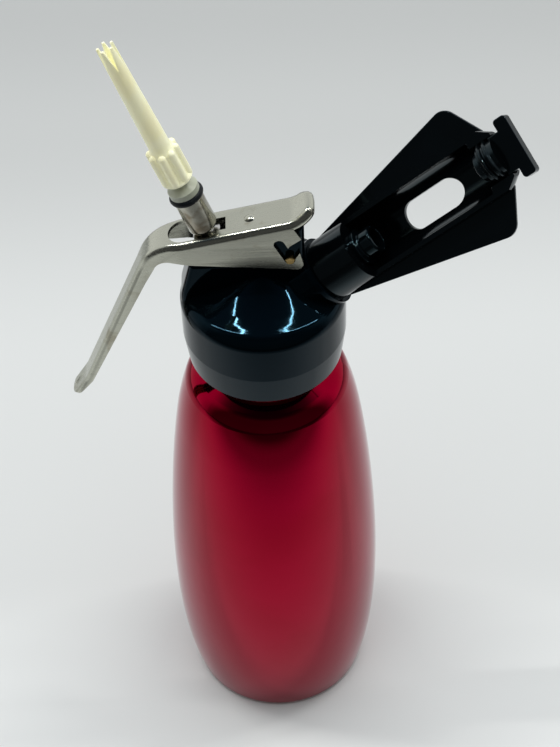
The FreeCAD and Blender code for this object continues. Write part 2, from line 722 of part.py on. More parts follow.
def lever_tab():
    profile = prism_y(tab_profile(), TAB_HALF_W)
    end_u = profile.BoundBox.XMax
    centre = end_u - TAB_HALF_W
    corners = [Vector(centre, TAB_HALF_W, 0), Vector(PLATE_REAR_U - STEP, TAB_HALF_W, 0),
               Vector(PLATE_REAR_U - STEP, -TAB_HALF_W, 0), Vector(centre, -TAB_HALF_W, 0)]
    outline = polygon_edges(corners) + [arc(corners[3], Vector(end_u, 0, 0), corners[0])]
    return profile.common(prism_z(outline, 0, 3 * PLATE_RISE))


def hook_notch():
    """Pin pocket, upper lobe and rear mouth of the hook, cut from both flanges."""
    pocket_r = PIN_R + FACE_GAP
    half = 2 * LEVER_HALF_W
    pocket = cross_rod(pocket_r, half, 0, 0)
    lobe = cross_rod(LOBE_R, half, LOBE_U, LOBE_W)
    run = rz(LOBE_U, LOBE_W)
    side = rz(run.z, -run.x).normalize()
    lane = [side * pocket_r, run + side * LOBE_R, run - side * LOBE_R, side * -pocket_r]
    past = FLANGE_TIP_U + STEP
    mouth = [Vector(), run / 2, rz(NOTCH_PEAK_U, NOTCH_PEAK_W), rz(past, FLANGE_TIP_W + STEP / 2),
             rz(past, HOOK_TOP + STEP), rz(HOOK_U, HOOK_TOP), rz(pocket_r, 0)]
    lane_cut = prism_y(polygon_edges(lane + lane[:1]), half)
    mouth_cut = prism_y(polygon_edges(mouth + mouth[:1]), half)
    return pocket.fuse([lobe, lane_cut, mouth_cut])


def keyhole():
    """Keyhole in the plate: the tube drops through the wide end, the neck slides into the narrow one."""
    wide = prism_z(slot_edges(SLOT_WIDE_U, SLOT_WIDE_U + SHEET, SLOT_WIDE_R), 0, PLATE_RISE + STEP)
    length = SLOT_WIDE_END_U - SLOT_WIDE_U
    straight = Part.makeBox(length, 2 * SLOT_WIDE_R, PLATE_RISE + STEP, Vector(SLOT_WIDE_U, -SLOT_WIDE_R, 0))
    narrow = Part.makeBox(SLOT_END_U - SLOT_WIDE_U, 2 * SLOT_HALF_W, PLATE_RISE + STEP,
                          Vector(SLOT_WIDE_U, -SLOT_HALF_W, 0))
    limit = Part.makeBox(SLOT_WIDE_END_U - SLOT_WIDE_U + 2 * SLOT_WIDE_R, 2 * SLOT_WIDE_R, PLATE_RISE + STEP,
                         Vector(SLOT_WIDE_U - 2 * SLOT_WIDE_R, -SLOT_WIDE_R, 0))
    return wide.common(limit).fuse([straight, narrow])


def tip_trim():
    """Stadium that rounds the handle's tip, square to the tip's face."""
    _, _, _, kink, tip = lever_path(0)
    run = (tip - kink).normalize()
    frame = Frame(kink, run, Vector(0, 1, 0), run.cross(Vector(0, 1, 0)))
    centre = HANDLE_TIP_LEN - HANDLE_TIP_HALF_W
    outline = slot_edges(-3 * HANDLE_LEN, centre, HANDLE_TIP_HALF_W)
    depth = 3 * HANDLE_LEN
    return frame.place(prism_z(outline, -depth, depth))


def make_lever():
    """Folded steel lever with hook, keyhole, rolled tab and handle."""
    channel = lever_outer().cut(lever_inner())
    tip_zone = channel.common(tip_trim_zone())
    grip = channel.cut(tip_trim_zone())
    body = grip.fuse([tip_zone.common(tip_trim()), lever_tab()])
    body = body.cut([hook_notch(), keyhole(), rivet_hole()])
    return LEVER.place(one_solid(body))


def tip_trim_zone():
    """Half space around the handle's tip."""
    _, _, _, kink, tip = lever_path(0)
    size = 2 * HANDLE_LEN
    return Part.makeBox(size, size, size, Vector(kink.x - size, -size / 2, tip.z - size / 2))


def rivet_hole():
    return Part.makeCylinder(RIVET_R, PLATE_RISE, Vector(RIVET_U, 0, SHEET + STEP))


def make_rivet():
    """Domed rivet that holds the stop block under the plate."""
    ball_r = (RIVET_HEAD_R ** 2 + RIVET_HEAD_H ** 2) / (2 * RIVET_HEAD_H)
    ball = Part.makeSphere(ball_r, Vector(0, 0, RIVET_HEAD_H - ball_r))
    dome = ball.common(rod(RIVET_HEAD_R + STEP, 0, RIVET_HEAD_H + STEP))
    rivet = dome.fuse(rod(RIVET_R, -SHEET - RIVET_REACH, 0))
    rivet.translate(Vector(RIVET_U, 0, PLATE_RISE))
    return LEVER.place(one_solid(rivet))


def make_stop_block():
    """Plastic block under the plate that lands on the tower at full squeeze."""
    low = block_face_w()
    block = Part.makeBox(BLOCK_LEN, 2 * BLOCK_HALF_W, BLOCK_T,
                         Vector(RIVET_U - BLOCK_LEN / 2, -BLOCK_HALF_W, low))
    block = block.makeFillet(BLOCK_CORNER_R, edges_where(block, lambda e: e.BoundBox.ZLength > BLOCK_T / 2))
    hole = Part.makeCylinder(RIVET_R, RIVET_REACH, Vector(RIVET_U, 0, low + BLOCK_T - RIVET_REACH))
    return LEVER.place(block.cut(hole))


# ---------------------------------------------------------------- valve and outlet
def plate_cross_a():
    """Where the stem's axis meets the underside of the lever's plate, along the stem."""
    normal = LEVER.z
    gap = LEVER.origin + normal * (PLATE_RISE - SHEET) - STEM.origin
    return gap.dot(normal) / STEM.z.dot(normal)


def plate_tilt():
    """Sine of the angle between the plate and the stem's cross section, at rest."""
    return abs(STEM.x.dot(LEVER.z))


UNDER_A = plate_cross_a()
COLLAR_TOP_A = UNDER_A - STEM_NECK_R * plate_tilt() - CONTACT_GAP
TUBE_START_A = UNDER_A + SHEET + TUBE_LIFT
TUBE_END_A = TUBE_START_A + TUBE_LEN
RING_A = TUBE_END_A + RING_MINOR
ADAPTER_A = TUBE_END_A + 2 * RING_MINOR
ADAPTER_CONE_A = ADAPTER_A + ADAPTER_COLLAR_T - ADAPTER_CONE_LEN
TIP_A = ADAPTER_A + ADAPTER_COLLAR_T + ADAPTER_NECK_LEN


def make_valve_stem():
    """Hollow stem: closed foot, side ports, ring groove, and the neck that the lever holds."""
    top = TUBE_START_A + TUBE_NECK_LEN
    stem = rod(STEM_R, STEM_BOTTOM_A, STEM_SHOULDER_A).fuse(rod(STEM_NECK_R, STEM_SHOULDER_A, top))
    stem = stem.cut(rod(STEM_BORE_R, STEM_BORE_FLOOR_A, top + STEP))
    port = Part.makeCylinder(STEM_PORT_R, 4 * STEM_R, Vector(-2 * STEM_R, 0, STEM_PORT_A), Vector(1, 0, 0))
    cross = Part.makeCylinder(STEM_PORT_R, 4 * STEM_R, Vector(0, -2 * STEM_R, STEM_PORT_A), Vector(0, 1, 0))
    groove = tube(STEM_R + STEP, STEM_R - 2 * STEM_RING_MINOR, STEM_RING_A - STEM_RING_MINOR,
                  STEM_RING_A + STEM_RING_MINOR)
    return STEM.place(one_solid(stem.cut([port, cross, groove])))


def make_stem_o_ring():
    """O-ring that seals the stem in the head."""
    return STEM.place(torus(STEM_R - STEM_RING_MINOR, STEM_RING_MINOR, STEM_RING_A))


def make_valve_gasket():
    """Rubber washer that closes on the head's seat."""
    return STEM.place(tube(VALVE_GASKET_R, STEM_R, VALVE_SEAT_A - VALVE_GASKET_T, VALVE_SEAT_A))


def make_valve_nut():
    """Nut under the gasket, with two wrench flats."""
    top = VALVE_SEAT_A - VALVE_GASKET_T
    nut = tube(VALVE_GASKET_R, STEM_R, top - VALVE_NUT_T, top)
    flat = Part.makeBox(4 * STEM_R, 4 * STEM_R, VALVE_NUT_T,
                        Vector(-2 * STEM_R, VALVE_NUT_FLAT, top - VALVE_NUT_T))
    other = flat.copy()
    other.rotate(Vector(), Vector(0, 0, 1), 180)
    return STEM.place(one_solid(nut.cut([flat, other])))


def make_spring_washer():
    """Steel washer that the spring stands on."""
    top = SPRING_POCKET_A + SPRING_WASHER_T
    return STEM.place(tube(SPRING_POCKET_R - RUN_GAP, STEM_NECK_R + 2 * RUN_GAP, SPRING_POCKET_A, top))


def make_valve_spring():
    """Coil spring that pulls the valve shut."""
    start = SPRING_POCKET_A + SPRING_WASHER_T + SPRING_WIRE_R + CONTACT_GAP
    end = COLLAR_TOP_A - COLLAR_T - SPRING_WIRE_R - CONTACT_GAP
    pitch = (end - start) / SPRING_TURNS
    helix = Part.makeHelix(pitch, end - start, SPRING_MEAN_R)
    helix.translate(Vector(0, 0, start))
    run = Vector(0, 2 * math.pi * SPRING_MEAN_R, pitch).normalize()
    out = Vector(1, 0, 0)
    side = run.cross(out)
    centre = rz(SPRING_MEAN_R, start)
    turns = [2 * math.pi * index / SPRING_WIRE_SIDES for index in range(SPRING_WIRE_SIDES)]
    corners = [centre + (out * math.cos(turn) + side * math.sin(turn)) * SPRING_WIRE_R for turn in turns]
    section = Part.makePolygon(corners + corners[:1])
    coil = Part.Wire([helix]).makePipeShell([section], True, True)
    if coil.Volume < 0:
        coil.reverse()
    return STEM.place(coil)


def make_stem_collar():
    """Collar on the neck that the lever pushes down, with a slightly coned top."""
    top = COLLAR_TOP_A
    return STEM.place(turned_polygon([rz(STEM_NECK_R, top), rz(COLLAR_R, top - COLLAR_CONE),
                                      rz(COLLAR_R, top - COLLAR_T), rz(STEM_NECK_R, top - COLLAR_T)]))


def make_outlet_tube():
    """Steel tube screwed onto the neck, above the lever."""
    neck_end = TUBE_START_A + TUBE_NECK_LEN
    body = rod(TUBE_R, TUBE_START_A, TUBE_END_A)
    foot = edges_where(body, lambda e: e.Closed and e.BoundBox.ZMax < TUBE_START_A + STEP)
    body = body.makeFillet(TUBE_FOOT_R, foot)
    bore = rod(STEM_NECK_R, TUBE_START_A - STEP, neck_end).fuse(rod(TUBE_BORE_R, neck_end, TUBE_END_A + STEP))
    return STEM.place(body.cut(bore))


def make_outlet_o_ring():
    """Black ring between the tube and the adapter's collar."""
    return STEM.place(torus(RING_OUT_R - RING_MINOR, RING_MINOR, RING_A))


def make_tip_adapter():
    """Off-white adapter: shank in the tube, collar, neck and the thread for the tip."""
    shank_r = TUBE_BORE_R - RUN_GAP
    shank_start = TUBE_END_A - ADAPTER_SHANK_LEN
    collar_end = ADAPTER_A + ADAPTER_COLLAR_T
    thread_end = TIP_A + ADAPTER_THREAD_LEN
    body = turned_polygon([rz(0, shank_start), rz(shank_r, shank_start), rz(shank_r, ADAPTER_A),
                           rz(ADAPTER_COLLAR_R, ADAPTER_A), rz(ADAPTER_COLLAR_R, ADAPTER_CONE_A),
                           rz(ADAPTER_NECK_R + ADAPTER_NECK_FILLET, collar_end),
                           rz(ADAPTER_NECK_R, collar_end + ADAPTER_NECK_FILLET),
                           rz(ADAPTER_NECK_R, TIP_A + STEP), rz(0, TIP_A + STEP)])
    thread = threaded_rod(ADAPTER_THREAD_R, ADAPTER_THREAD_DEPTH, ADAPTER_THREAD_PITCH,
                          TIP_A + STEP, thread_end)
    body = body.fuse(thread).cut(rod(ADAPTER_BORE_R, shank_start - STEP, thread_end + STEP))
    return STEM.place(one_solid(body))


def make_decorating_tip():
    """Cream-coloured piping tip: ribbed base, slender tube and a crown of teeth."""
    base_end = TIP_A + TIP_BASE_LEN
    end = base_end + TIP_LEN
    bore_r = ADAPTER_THREAD_R + RUN_GAP
    bore_end = TIP_A + ADAPTER_THREAD_LEN + STEP
    outside = turned_polygon([rz(0, TIP_A), rz(TIP_BASE_R - TIP_CHAMFER, TIP_A),
                              rz(TIP_BASE_R, TIP_A + TIP_CHAMFER),
                              rz(TIP_BASE_TOP_R, base_end - TIP_SHOULDER), rz(TIP_ROOT_R, base_end),
                              rz(TIP_END_R, end), rz(0, end)])
    low_cap, high_cap = TIP_A + TIP_CHAMFER + TIP_RIB_R, base_end - TIP_CHAMFER - TIP_RIB_R
    ribs = []
    for index in range(TIP_RIBS):
        caps = [Part.makeSphere(TIP_RIB_R, Vector(0, 0, height)) for height in (low_cap, high_cap)]
        rib = rod(TIP_RIB_R, low_cap, high_cap).fuse(caps)
        rib.translate(Vector(TIP_RIB_OUT_R - TIP_RIB_R, 0, 0))
        rib.rotate(Vector(), Vector(0, 0, 1), 360 / TIP_RIBS * (index + 0.5))
        ribs.append(rib)
    inside = turned_polygon([rz(0, TIP_A - STEP), rz(bore_r, TIP_A - STEP), rz(bore_r, bore_end),
                             rz(TIP_ROOT_R - TIP_WALL, base_end - STEP),
                             rz(TIP_END_R - TIP_WALL, end + STEP), rz(0, end + STEP)])
    notches = []
    half = TIP_NOTCH_SHARE * math.pi * TIP_END_R / TIP_TEETH
    for index in range(TIP_TEETH):
        corners = [rz(0, end - TIP_TOOTH_LEN), Vector(0, half, end + STEP), Vector(0, -half, end + STEP)]
        notch = Part.Face(Part.makePolygon(corners + corners[:1])).extrude(Vector(3 * TIP_END_R, 0, 0))
        notch.rotate(Vector(), Vector(0, 0, 1), 360 / TIP_TEETH * index)
        notches.append(notch)
    return STEM.place(one_solid(outside.fuse(ribs).cut([inside] + notches)))


# ---------------------------------------------------------------- gas inlet
RETAINER_START_S = FACE_GAP + FITTING_THREAD_LEN
SEAL_START_S = RETAINER_START_S + FITTING_SPIGOT_LEN
SEAL_END_S = SEAL_START_S + CHARGER_SEAL_T
NOSE_START_S = RETAINER_START_S + RETAINER_LEN
NOSE_END_S = NOSE_START_S + NOSE_LEN


def make_inlet_fitting():
    """Brass fitting: stub in the head, thread for the holder, spigot for the seal retainer."""
    stub_start = -PORT_BORE_LEN + FITTING_SEAL_T
    nipple_start = stub_start - FITTING_NIPPLE_LEN
    body = rod(PORT_BORE_R - RUN_GAP, stub_start, FACE_GAP)
    body = body.fuse([rod(FITTING_NIPPLE_R, nipple_start, stub_start),
                      threaded_rod(FITTING_THREAD_R, FITTING_THREAD_DEPTH, FITTING_THREAD_PITCH,
                                   FACE_GAP, RETAINER_START_S),
                      rod(FITTING_SPIGOT_R, RETAINER_START_S, SEAL_START_S)])
    bore_start = SEAL_START_S - FITTING_BORE_LEN
    body = body.cut(rod(FITTING_BORE_R, bore_start, SEAL_START_S + STEP))
    body = body.cut(rod(PIERCER_R, nipple_start + FITTING_NIPPLE_WALL, bore_start + STEP))
    vent_start = Vector(-2 * FITTING_NIPPLE_R, 0, nipple_start + FITTING_VENT_UP)
    vent = Part.makeCylinder(FITTING_VENT_R, 4 * FITTING_NIPPLE_R, vent_start, Vector(1, 0, 0))
    return HOLDER.place(one_solid(body.cut(vent)))


def make_fitting_seal():
    """Ring at the bottom of the head's port."""
    start = -PORT_BORE_LEN
    return HOLDER.place(tube(PORT_BORE_R - RUN_GAP, PORT_TAIL_R, start, start + FITTING_SEAL_T))


def make_check_sleeve():
    """Rubber sleeve over the fitting's vents, which lets gas in and not out."""
    end = -PORT_BORE_LEN + FITTING_SEAL_T - SLEEVE_DROP
    return HOLDER.place(tube(FITTING_NIPPLE_R + SLEEVE_WALL, FITTING_NIPPLE_R, end - SLEEVE_LEN, end))


def make_piercing_pin():
    """Hollow steel point on a disc pressed into the fitting."""
    disc_start = SEAL_START_S - FITTING_BORE_LEN + PIERCER_LIFT
    disc_end = disc_start + PIERCER_DISC_T
    point = SEAL_END_S + PIERCER_REACH
    body = turned_polygon([rz(PIERCER_BORE_R, disc_start), rz(FITTING_BORE_R, disc_start),
                           rz(FITTING_BORE_R, disc_end), rz(PIERCER_R, disc_end),
                           rz(PIERCER_R, point - PIERCER_CONE_LEN), rz(PIERCER_BORE_R, point)])
    return HOLDER.place(body)


def make_charger_seal():
    """Rubber ring that seals on the charger's neck."""
    return HOLDER.place(tube(FITTING_SPIGOT_R, CHARGER_SEAL_IN_R, SEAL_START_S, SEAL_END_S))


def make_seal_retainer():
    """Black cap over the seal, with the nose that takes the charger's neck."""
    body = turned_polygon([rz(CHARGER_NECK_R, SEAL_END_S), rz(FITTING_SPIGOT_R, SEAL_END_S),
                           rz(FITTING_SPIGOT_R, RETAINER_START_S), rz(RETAINER_R, RETAINER_START_S),
                           rz(RETAINER_R, NOSE_START_S), rz(NOSE_R, NOSE_START_S + NOSE_FOOT),
                           rz(NOSE_R, NOSE_END_S), rz(CHARGER_NECK_R, NOSE_END_S)])
    rim = edges_where(body, lambda e: e.Closed and e.BoundBox.ZMin > NOSE_END_S - TOUCHING
                      and e.BoundBox.XLength > CHARGER_NECK_R + NOSE_R)
    return HOLDER.place(body.makeFillet(NOSE_EDGE_R, rim))


# ---------------------------------------------------------------- charger holder
def wing_plate():
    """Flat kite-shaped plate of both wings."""
    side = [Vector(WING_START_W, 0, WING_START_S), Vector(WING_WIDE_W, 0, WING_WIDE_S),
            Vector(WING_END_W, 0, WING_END_S)]
    other = [Vector(-p.x, 0, p.z) for p in reversed(side)]
    corners = side + other
    plate = prism_y(polygon_edges(corners + corners[:1]), WING_T / 2)
    sharp = edges_where(plate, lambda e: e.BoundBox.YLength > WING_T / 2
                        and abs(abs(e.Vertexes[0].X) - WING_WIDE_W) < TOUCHING)
    plate = plate.makeFillet(WING_CORNER_R, sharp)
    plate = plate.makeFillet(WING_EDGE_R, edges_where(plate, lambda e: e.BoundBox.YLength < TOUCHING))
    plate.translate(Vector(0, WING_N, 0))
    return plate


def make_charger_holder():
    """Open cradle with collar, window, half nut and two wings."""
    start = FACE_GAP
    cone = Part.makeCone(HOLDER_R, HOLDER_CONE_R, HOLDER_LEN - HOLDER_CONE_S, Vector(0, 0, HOLDER_CONE_S))
    body = rod(HOLDER_R, start, HOLDER_CONE_S).fuse(cone)
    front_size = 4 * HOLDER_R
    front = Part.makeBox(front_size, front_size, HOLDER_LEN,
                         Vector(-front_size / 2, HOLDER_CUT_N, COLLAR_LEN))
    body = body.cut(front).fuse(wing_plate())
    channel_r = HOLDER_R - HOLDER_WALL
    bore = rod(FITTING_THREAD_R + RUN_GAP, start - STEP, RETAINER_START_S + FACE_GAP)
    web = rod(RETAINER_R + FACE_GAP, RETAINER_START_S, COLLAR_LEN + STEP)
    channel = rod(channel_r, COLLAR_LEN, NUT_START_S)
    nut = rod(SCREW_CREST_R + RUN_GAP, NUT_START_S - STEP, HOLDER_LEN + STEP)
    return HOLDER.place(one_solid(body.cut([bore, web, channel, nut, holder_window()])))


def holder_window():
    """Slot with round ends through the back of the cradle."""
    low_left, low_right = rz(-WINDOW_R, WINDOW_START_S), rz(WINDOW_R, WINDOW_START_S)
    top_left, top_right = rz(-WINDOW_R, WINDOW_END_S), rz(WINDOW_R, WINDOW_END_S)
    edges = [line(low_right, top_right), line(top_left, low_left),
             arc(low_left, rz(0, WINDOW_START_S - WINDOW_R), low_right),
             arc(top_right, rz(0, WINDOW_END_S + WINDOW_R), top_left)]
    return Part.Face(Part.Wire(Part.__sortEdges__(edges))).extrude(Vector(0, -2 * HOLDER_R, 0))


def make_rest_pad():
    """Swivelling pad on the screw's end, which the charger rests against."""
    end = SCREW_START_S - CONTACT_GAP
    start = end - PAD_T
    pad = rod(PAD_R, start, end).fuse(rod(PAD_STUD_R, start, SCREW_START_S + PAD_STUD_LEN))
    rim = edges_where(pad, lambda e: e.Closed and e.BoundBox.ZMax < start + TOUCHING)
    return HOLDER.place(one_solid(pad.makeFillet(PAD_EDGE_R, rim)))


def make_end_screw():
    """Threaded plug with a flat T-shaped key."""
    shank = threaded_rod(SCREW_CREST_R, SCREW_THREAD_DEPTH, SCREW_PITCH, SCREW_START_S, SCREW_SHANK_END_S)
    stem_start = SCREW_SHANK_END_S - STEP
    stem = Part.makeBox(2 * KEY_STEM_HALF_W, 2 * KEY_HALF_T, KEY_BAR_S - stem_start + STEP,
                        Vector(-KEY_STEM_HALF_W, -KEY_HALF_T, stem_start))
    bar = Part.makeBox(2 * KEY_BAR_HALF_W, 2 * KEY_HALF_T, KEY_BAR_LEN,
                       Vector(-KEY_BAR_HALF_W, -KEY_HALF_T, KEY_BAR_S))
    bar = bar.makeFillet(KEY_CORNER_R, edges_where(bar, lambda e: e.BoundBox.YLength > KEY_HALF_T))
    bar = bar.makeFillet(KEY_EDGE_R, edges_where(bar, lambda e: e.BoundBox.YLength < TOUCHING))
    stem = stem.makeFillet(KEY_EDGE_R, edges_where(stem, lambda e: e.BoundBox.ZLength > STEP))
    hole = rod(PAD_STUD_R + RUN_GAP, SCREW_START_S - STEP, SCREW_START_S + PAD_STUD_LEN + FACE_GAP)
    return HOLDER.place(one_solid(shank.fuse([stem, bar]).cut(hole)))


# ---------------------------------------------------------------- output
PIECES = {
    "bottle": make_bottle,
    "head_body": make_head,
    "head_gasket": make_head_gasket,
    "pivot_pin": make_pivot_pin,
    "lever": make_lever,
    "lever_rivet": make_rivet,
    "lever_stop_block": make_stop_block,
    "valve_stem": make_valve_stem,
    "stem_collar": make_stem_collar,
    "stem_o_ring": make_stem_o_ring,
    "valve_gasket": make_valve_gasket,
    "valve_gasket_nut": make_valve_nut,
    "valve_spring": make_valve_spring,
    "spring_washer": make_spring_washer,
    "outlet_tube": make_outlet_tube,
    "outlet_o_ring": make_outlet_o_ring,
    "tip_adapter": make_tip_adapter,
    "decorating_tip": make_decorating_tip,
    "inlet_fitting": make_inlet_fitting,
    "inlet_fitting_seal": make_fitting_seal,
    "inlet_check_sleeve": make_check_sleeve,
    "piercing_pin": make_piercing_pin,
    "charger_seal": make_charger_seal,
    "seal_retainer": make_seal_retainer,
    "charger_holder": make_charger_holder,
    "charger_rest_pad": make_rest_pad,
    "end_screw": make_end_screw,
}

for node, make in PIECES.items():
    solid = make()
    solid.exportStep("parts/" + node + ".step")
    box = solid.BoundBox
    print("%-20s solids %d valid %s volume %9.1f  x %.1f..%.1f y %.1f..%.1f z %.1f..%.1f" % (
        node, len(solid.Solids), solid.isValid(), solid.Volume,
        box.XMin, box.XMax, box.YMin, box.YMax, box.ZMin, box.ZMax))
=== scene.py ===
"""Looks of the whipped cream dispenser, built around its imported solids.

Each sub-assembly is a class that models its own pieces and dresses them and the
solids that stay. Everything is in metres, in the frame of the solids. Sizes are in
millimetres and degrees, unless their comment says otherwise.
"""
from __future__ import annotations

import json
import logging
import math
from dataclasses import dataclass
from enum import Enum
from typing import Callable, Sequence

import bmesh
import bpy
from mathutils import Matrix, Vector

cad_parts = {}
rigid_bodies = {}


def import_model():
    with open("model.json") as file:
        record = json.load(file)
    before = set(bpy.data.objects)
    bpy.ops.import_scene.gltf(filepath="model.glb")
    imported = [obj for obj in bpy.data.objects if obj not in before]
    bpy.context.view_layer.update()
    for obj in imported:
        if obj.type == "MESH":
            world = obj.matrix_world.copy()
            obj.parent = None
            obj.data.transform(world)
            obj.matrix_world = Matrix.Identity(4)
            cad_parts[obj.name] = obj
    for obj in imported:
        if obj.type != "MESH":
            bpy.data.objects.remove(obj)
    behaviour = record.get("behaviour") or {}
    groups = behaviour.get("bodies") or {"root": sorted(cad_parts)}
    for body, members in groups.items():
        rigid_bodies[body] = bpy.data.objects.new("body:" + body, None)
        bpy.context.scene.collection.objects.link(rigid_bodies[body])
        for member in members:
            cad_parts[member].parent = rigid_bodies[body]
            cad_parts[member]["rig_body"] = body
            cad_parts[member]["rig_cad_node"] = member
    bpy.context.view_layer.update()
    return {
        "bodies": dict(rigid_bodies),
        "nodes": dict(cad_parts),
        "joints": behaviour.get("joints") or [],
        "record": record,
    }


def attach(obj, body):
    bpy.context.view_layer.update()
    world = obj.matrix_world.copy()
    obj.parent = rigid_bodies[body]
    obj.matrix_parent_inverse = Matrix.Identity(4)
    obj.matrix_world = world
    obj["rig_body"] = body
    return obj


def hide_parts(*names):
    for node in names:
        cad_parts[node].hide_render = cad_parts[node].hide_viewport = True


LOG = logging.getLogger("dispenser")
MM = 0.001
SIDE = Vector((0.0, 1.0, 0.0))
# Edges that turn by more than the first are rounded, and by more than the second are shaded as sharp.
EDGE_ANGLE = 30.0
SMOOTH_ANGLE = 40.0
# Points closer than this become one, and faces that turn by less than this become one.
MERGE_DISTANCE = 0.002
FLAT_ANGLE = 0.8
# Top of the tapered band at the head's rim, where its roughness changes and its painted reflection starts.
BAND_TOP = 259.0
Colour = tuple[float, float, float]
Triple = tuple[float, float, float]
Span = tuple[float, float]
Piece = bpy.types.Object
Material = bpy.types.Material
Node = bpy.types.Node
Socket = bpy.types.NodeSocket
Test = Callable[[Vector], bool]


# ------------------------------------------------------------------ places
@dataclass(frozen=True)
class LocalFrame:
    """Zero point and axes of a sub-assembly in the model's frame."""

    origin: Vector
    x_axis: Vector
    y_axis: Vector
    z_axis: Vector

    @property
    def matrix(self) -> Matrix:
        """Matrix from local to model coordinates."""
        turn = Matrix((self.x_axis, self.y_axis, self.z_axis)).transposed()
        return Matrix.Translation(self.origin * MM) @ turn.to_4x4()

    def local(self, spot: Vector) -> Vector:
        """Local coordinates of a place in the model, both in millimetres."""
        return self.matrix.inverted() @ (spot * MM) / MM


def along(angle: float) -> Vector:
    """Unit vector in the XZ plane, at an angle from +X towards +Z."""
    turn = math.radians(angle)
    return Vector((math.cos(turn), 0.0, math.sin(turn)))


def stem_frame() -> LocalFrame:
    """Frame of the valve and the outlet, z up the stem."""
    tilt = 18.6
    return LocalFrame(Vector((-5.5, 0.0, 264.5)), along(tilt), SIDE, along(90.0 + tilt))


def holder_frame() -> LocalFrame:
    """Frame of the charger holder, z out along it and y out of its open side.

    Returns:
        The frame.
    """
    rise, roll = 40.9, math.radians(45.0)
    out = along(rise)
    open_side = along(90.0 + rise) * math.cos(roll) - SIDE * math.sin(roll)
    return LocalFrame(Vector((29.0, 0.0, 289.6)), open_side.cross(out), open_side, out)


def lever_frame() -> LocalFrame:
    """Frame of the lever, origin on the pin, x up the plate and z out of it."""
    slope = 12.0
    return LocalFrame(Vector((12.4, 0.0, 305.8)), along(slope), SIDE, along(90.0 + slope))


# ------------------------------------------------------------------ the bench
# Blender's own operators, used one after another as by hand.


def take(piece: Piece) -> Piece:
    """Select one piece alone and make it active.

    Args:
        piece: The piece to work on.

    Returns:
        The same piece.
    """
    bpy.ops.object.select_all(action="DESELECT")
    piece.select_set(True)
    bpy.context.view_layer.objects.active = piece
    return piece


def named(name: str) -> Piece:
    """Name the piece that was just added and keep its place in its mesh.

    Args:
        name: Its name.

    Returns:
        The piece.
    """
    piece = bpy.context.view_layer.objects.active
    piece.name = piece.data.name = name
    bpy.ops.object.transform_apply()
    return piece


def double(piece: Piece) -> Piece:
    """Duplicate a piece.

    Args:
        piece: The piece to duplicate.

    Returns:
        The duplicate, with its own mesh.
    """
    take(piece)
    bpy.ops.object.duplicate()
    return bpy.context.view_layer.objects.active


def copy_of(node: Piece, name: str) -> Piece:
    """Copy a solid's mesh into a new piece with joined triangles.

    Args:
        node: The solid's object.
        name: Name of the new piece.

    Returns:
        The new piece, free of any parent.
    """
    piece = double(node)
    piece.name = piece.data.name = name
    piece.parent = None
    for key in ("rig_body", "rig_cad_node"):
        if key in piece:
            del piece[key]
    bpy.ops.object.mode_set(mode="EDIT")
    bpy.ops.mesh.customdata_custom_splitnormals_clear()
    bpy.ops.mesh.select_all(action="SELECT")
    bpy.ops.mesh.remove_doubles(threshold=MERGE_DISTANCE * MM)
    bpy.ops.mesh.dissolve_limited(angle_limit=math.radians(FLAT_ANGLE))
    bpy.ops.object.mode_set(mode="OBJECT")
    return piece


def lathe(name: str, outline: Sequence[Span], segments: int) -> Piece:
    """Model a turned piece, ring after ring.

    Args:
        name: Name of the piece.
        outline: Radius and height of each ring. The last ring meets the first.
        segments: Number of points on a ring.

    Returns:
        The piece, about its own Z axis.
    """
    radius, height = outline[0]
    bpy.ops.mesh.primitive_circle_add(vertices=segments, radius=radius * MM, location=(0.0, 0.0, height * MM))
    piece = named(name)
    bpy.ops.object.mode_set(mode="EDIT")
    bpy.ops.mesh.select_all(action="SELECT")
    for (near_r, near_z), (far_r, far_z) in zip(outline, outline[1:]):
        bpy.ops.mesh.extrude_region_move(TRANSFORM_OT_translate={"value": (0.0, 0.0, (far_z - near_z) * MM)})
        grow = far_r / near_r
        bpy.ops.transform.resize(value=(grow, grow, 1.0), center_override=(0.0, 0.0, far_z * MM))
    bpy.ops.mesh.select_all(action="SELECT")
    bpy.ops.mesh.remove_doubles(threshold=MERGE_DISTANCE * MM)
    bpy.ops.mesh.normals_make_consistent(inside=False)
    bpy.ops.object.mode_set(mode="OBJECT")
    return piece


def cuboid(name: str, low: Triple, high: Triple) -> Piece:
    """Model a rectangular block.

    Args:
        name: Name of the piece.
        low: Its lowest corner.
        high: Its highest corner.

    Returns:
        The piece.
    """
    middle = [(a + b) / 2 * MM for a, b in zip(low, high)]
    bpy.ops.mesh.primitive_cube_add(size=1.0, location=middle)
    bpy.ops.transform.resize(value=[(b - a) * MM for a, b in zip(low, high)])
    return named(name)


def capsule(name: str, radius: float, low: float, high: float) -> Piece:
    """Model an upright bar with round ends by drawing a ball apart.

    Args:
        name: Name of the piece.
        radius: Its radius.
        low: Height of the lower ball's centre.
        high: Height of the upper ball's centre.

    Returns:
        The piece, about its own Z axis.
    """
    bpy.ops.mesh.primitive_uv_sphere_add(segments=24, ring_count=16, radius=radius * MM,
                                         location=(0.0, 0.0, low * MM))
    piece = named(name)
    move_where(piece, lambda spot: spot.z > low + radius / 10, high - low)
    return piece


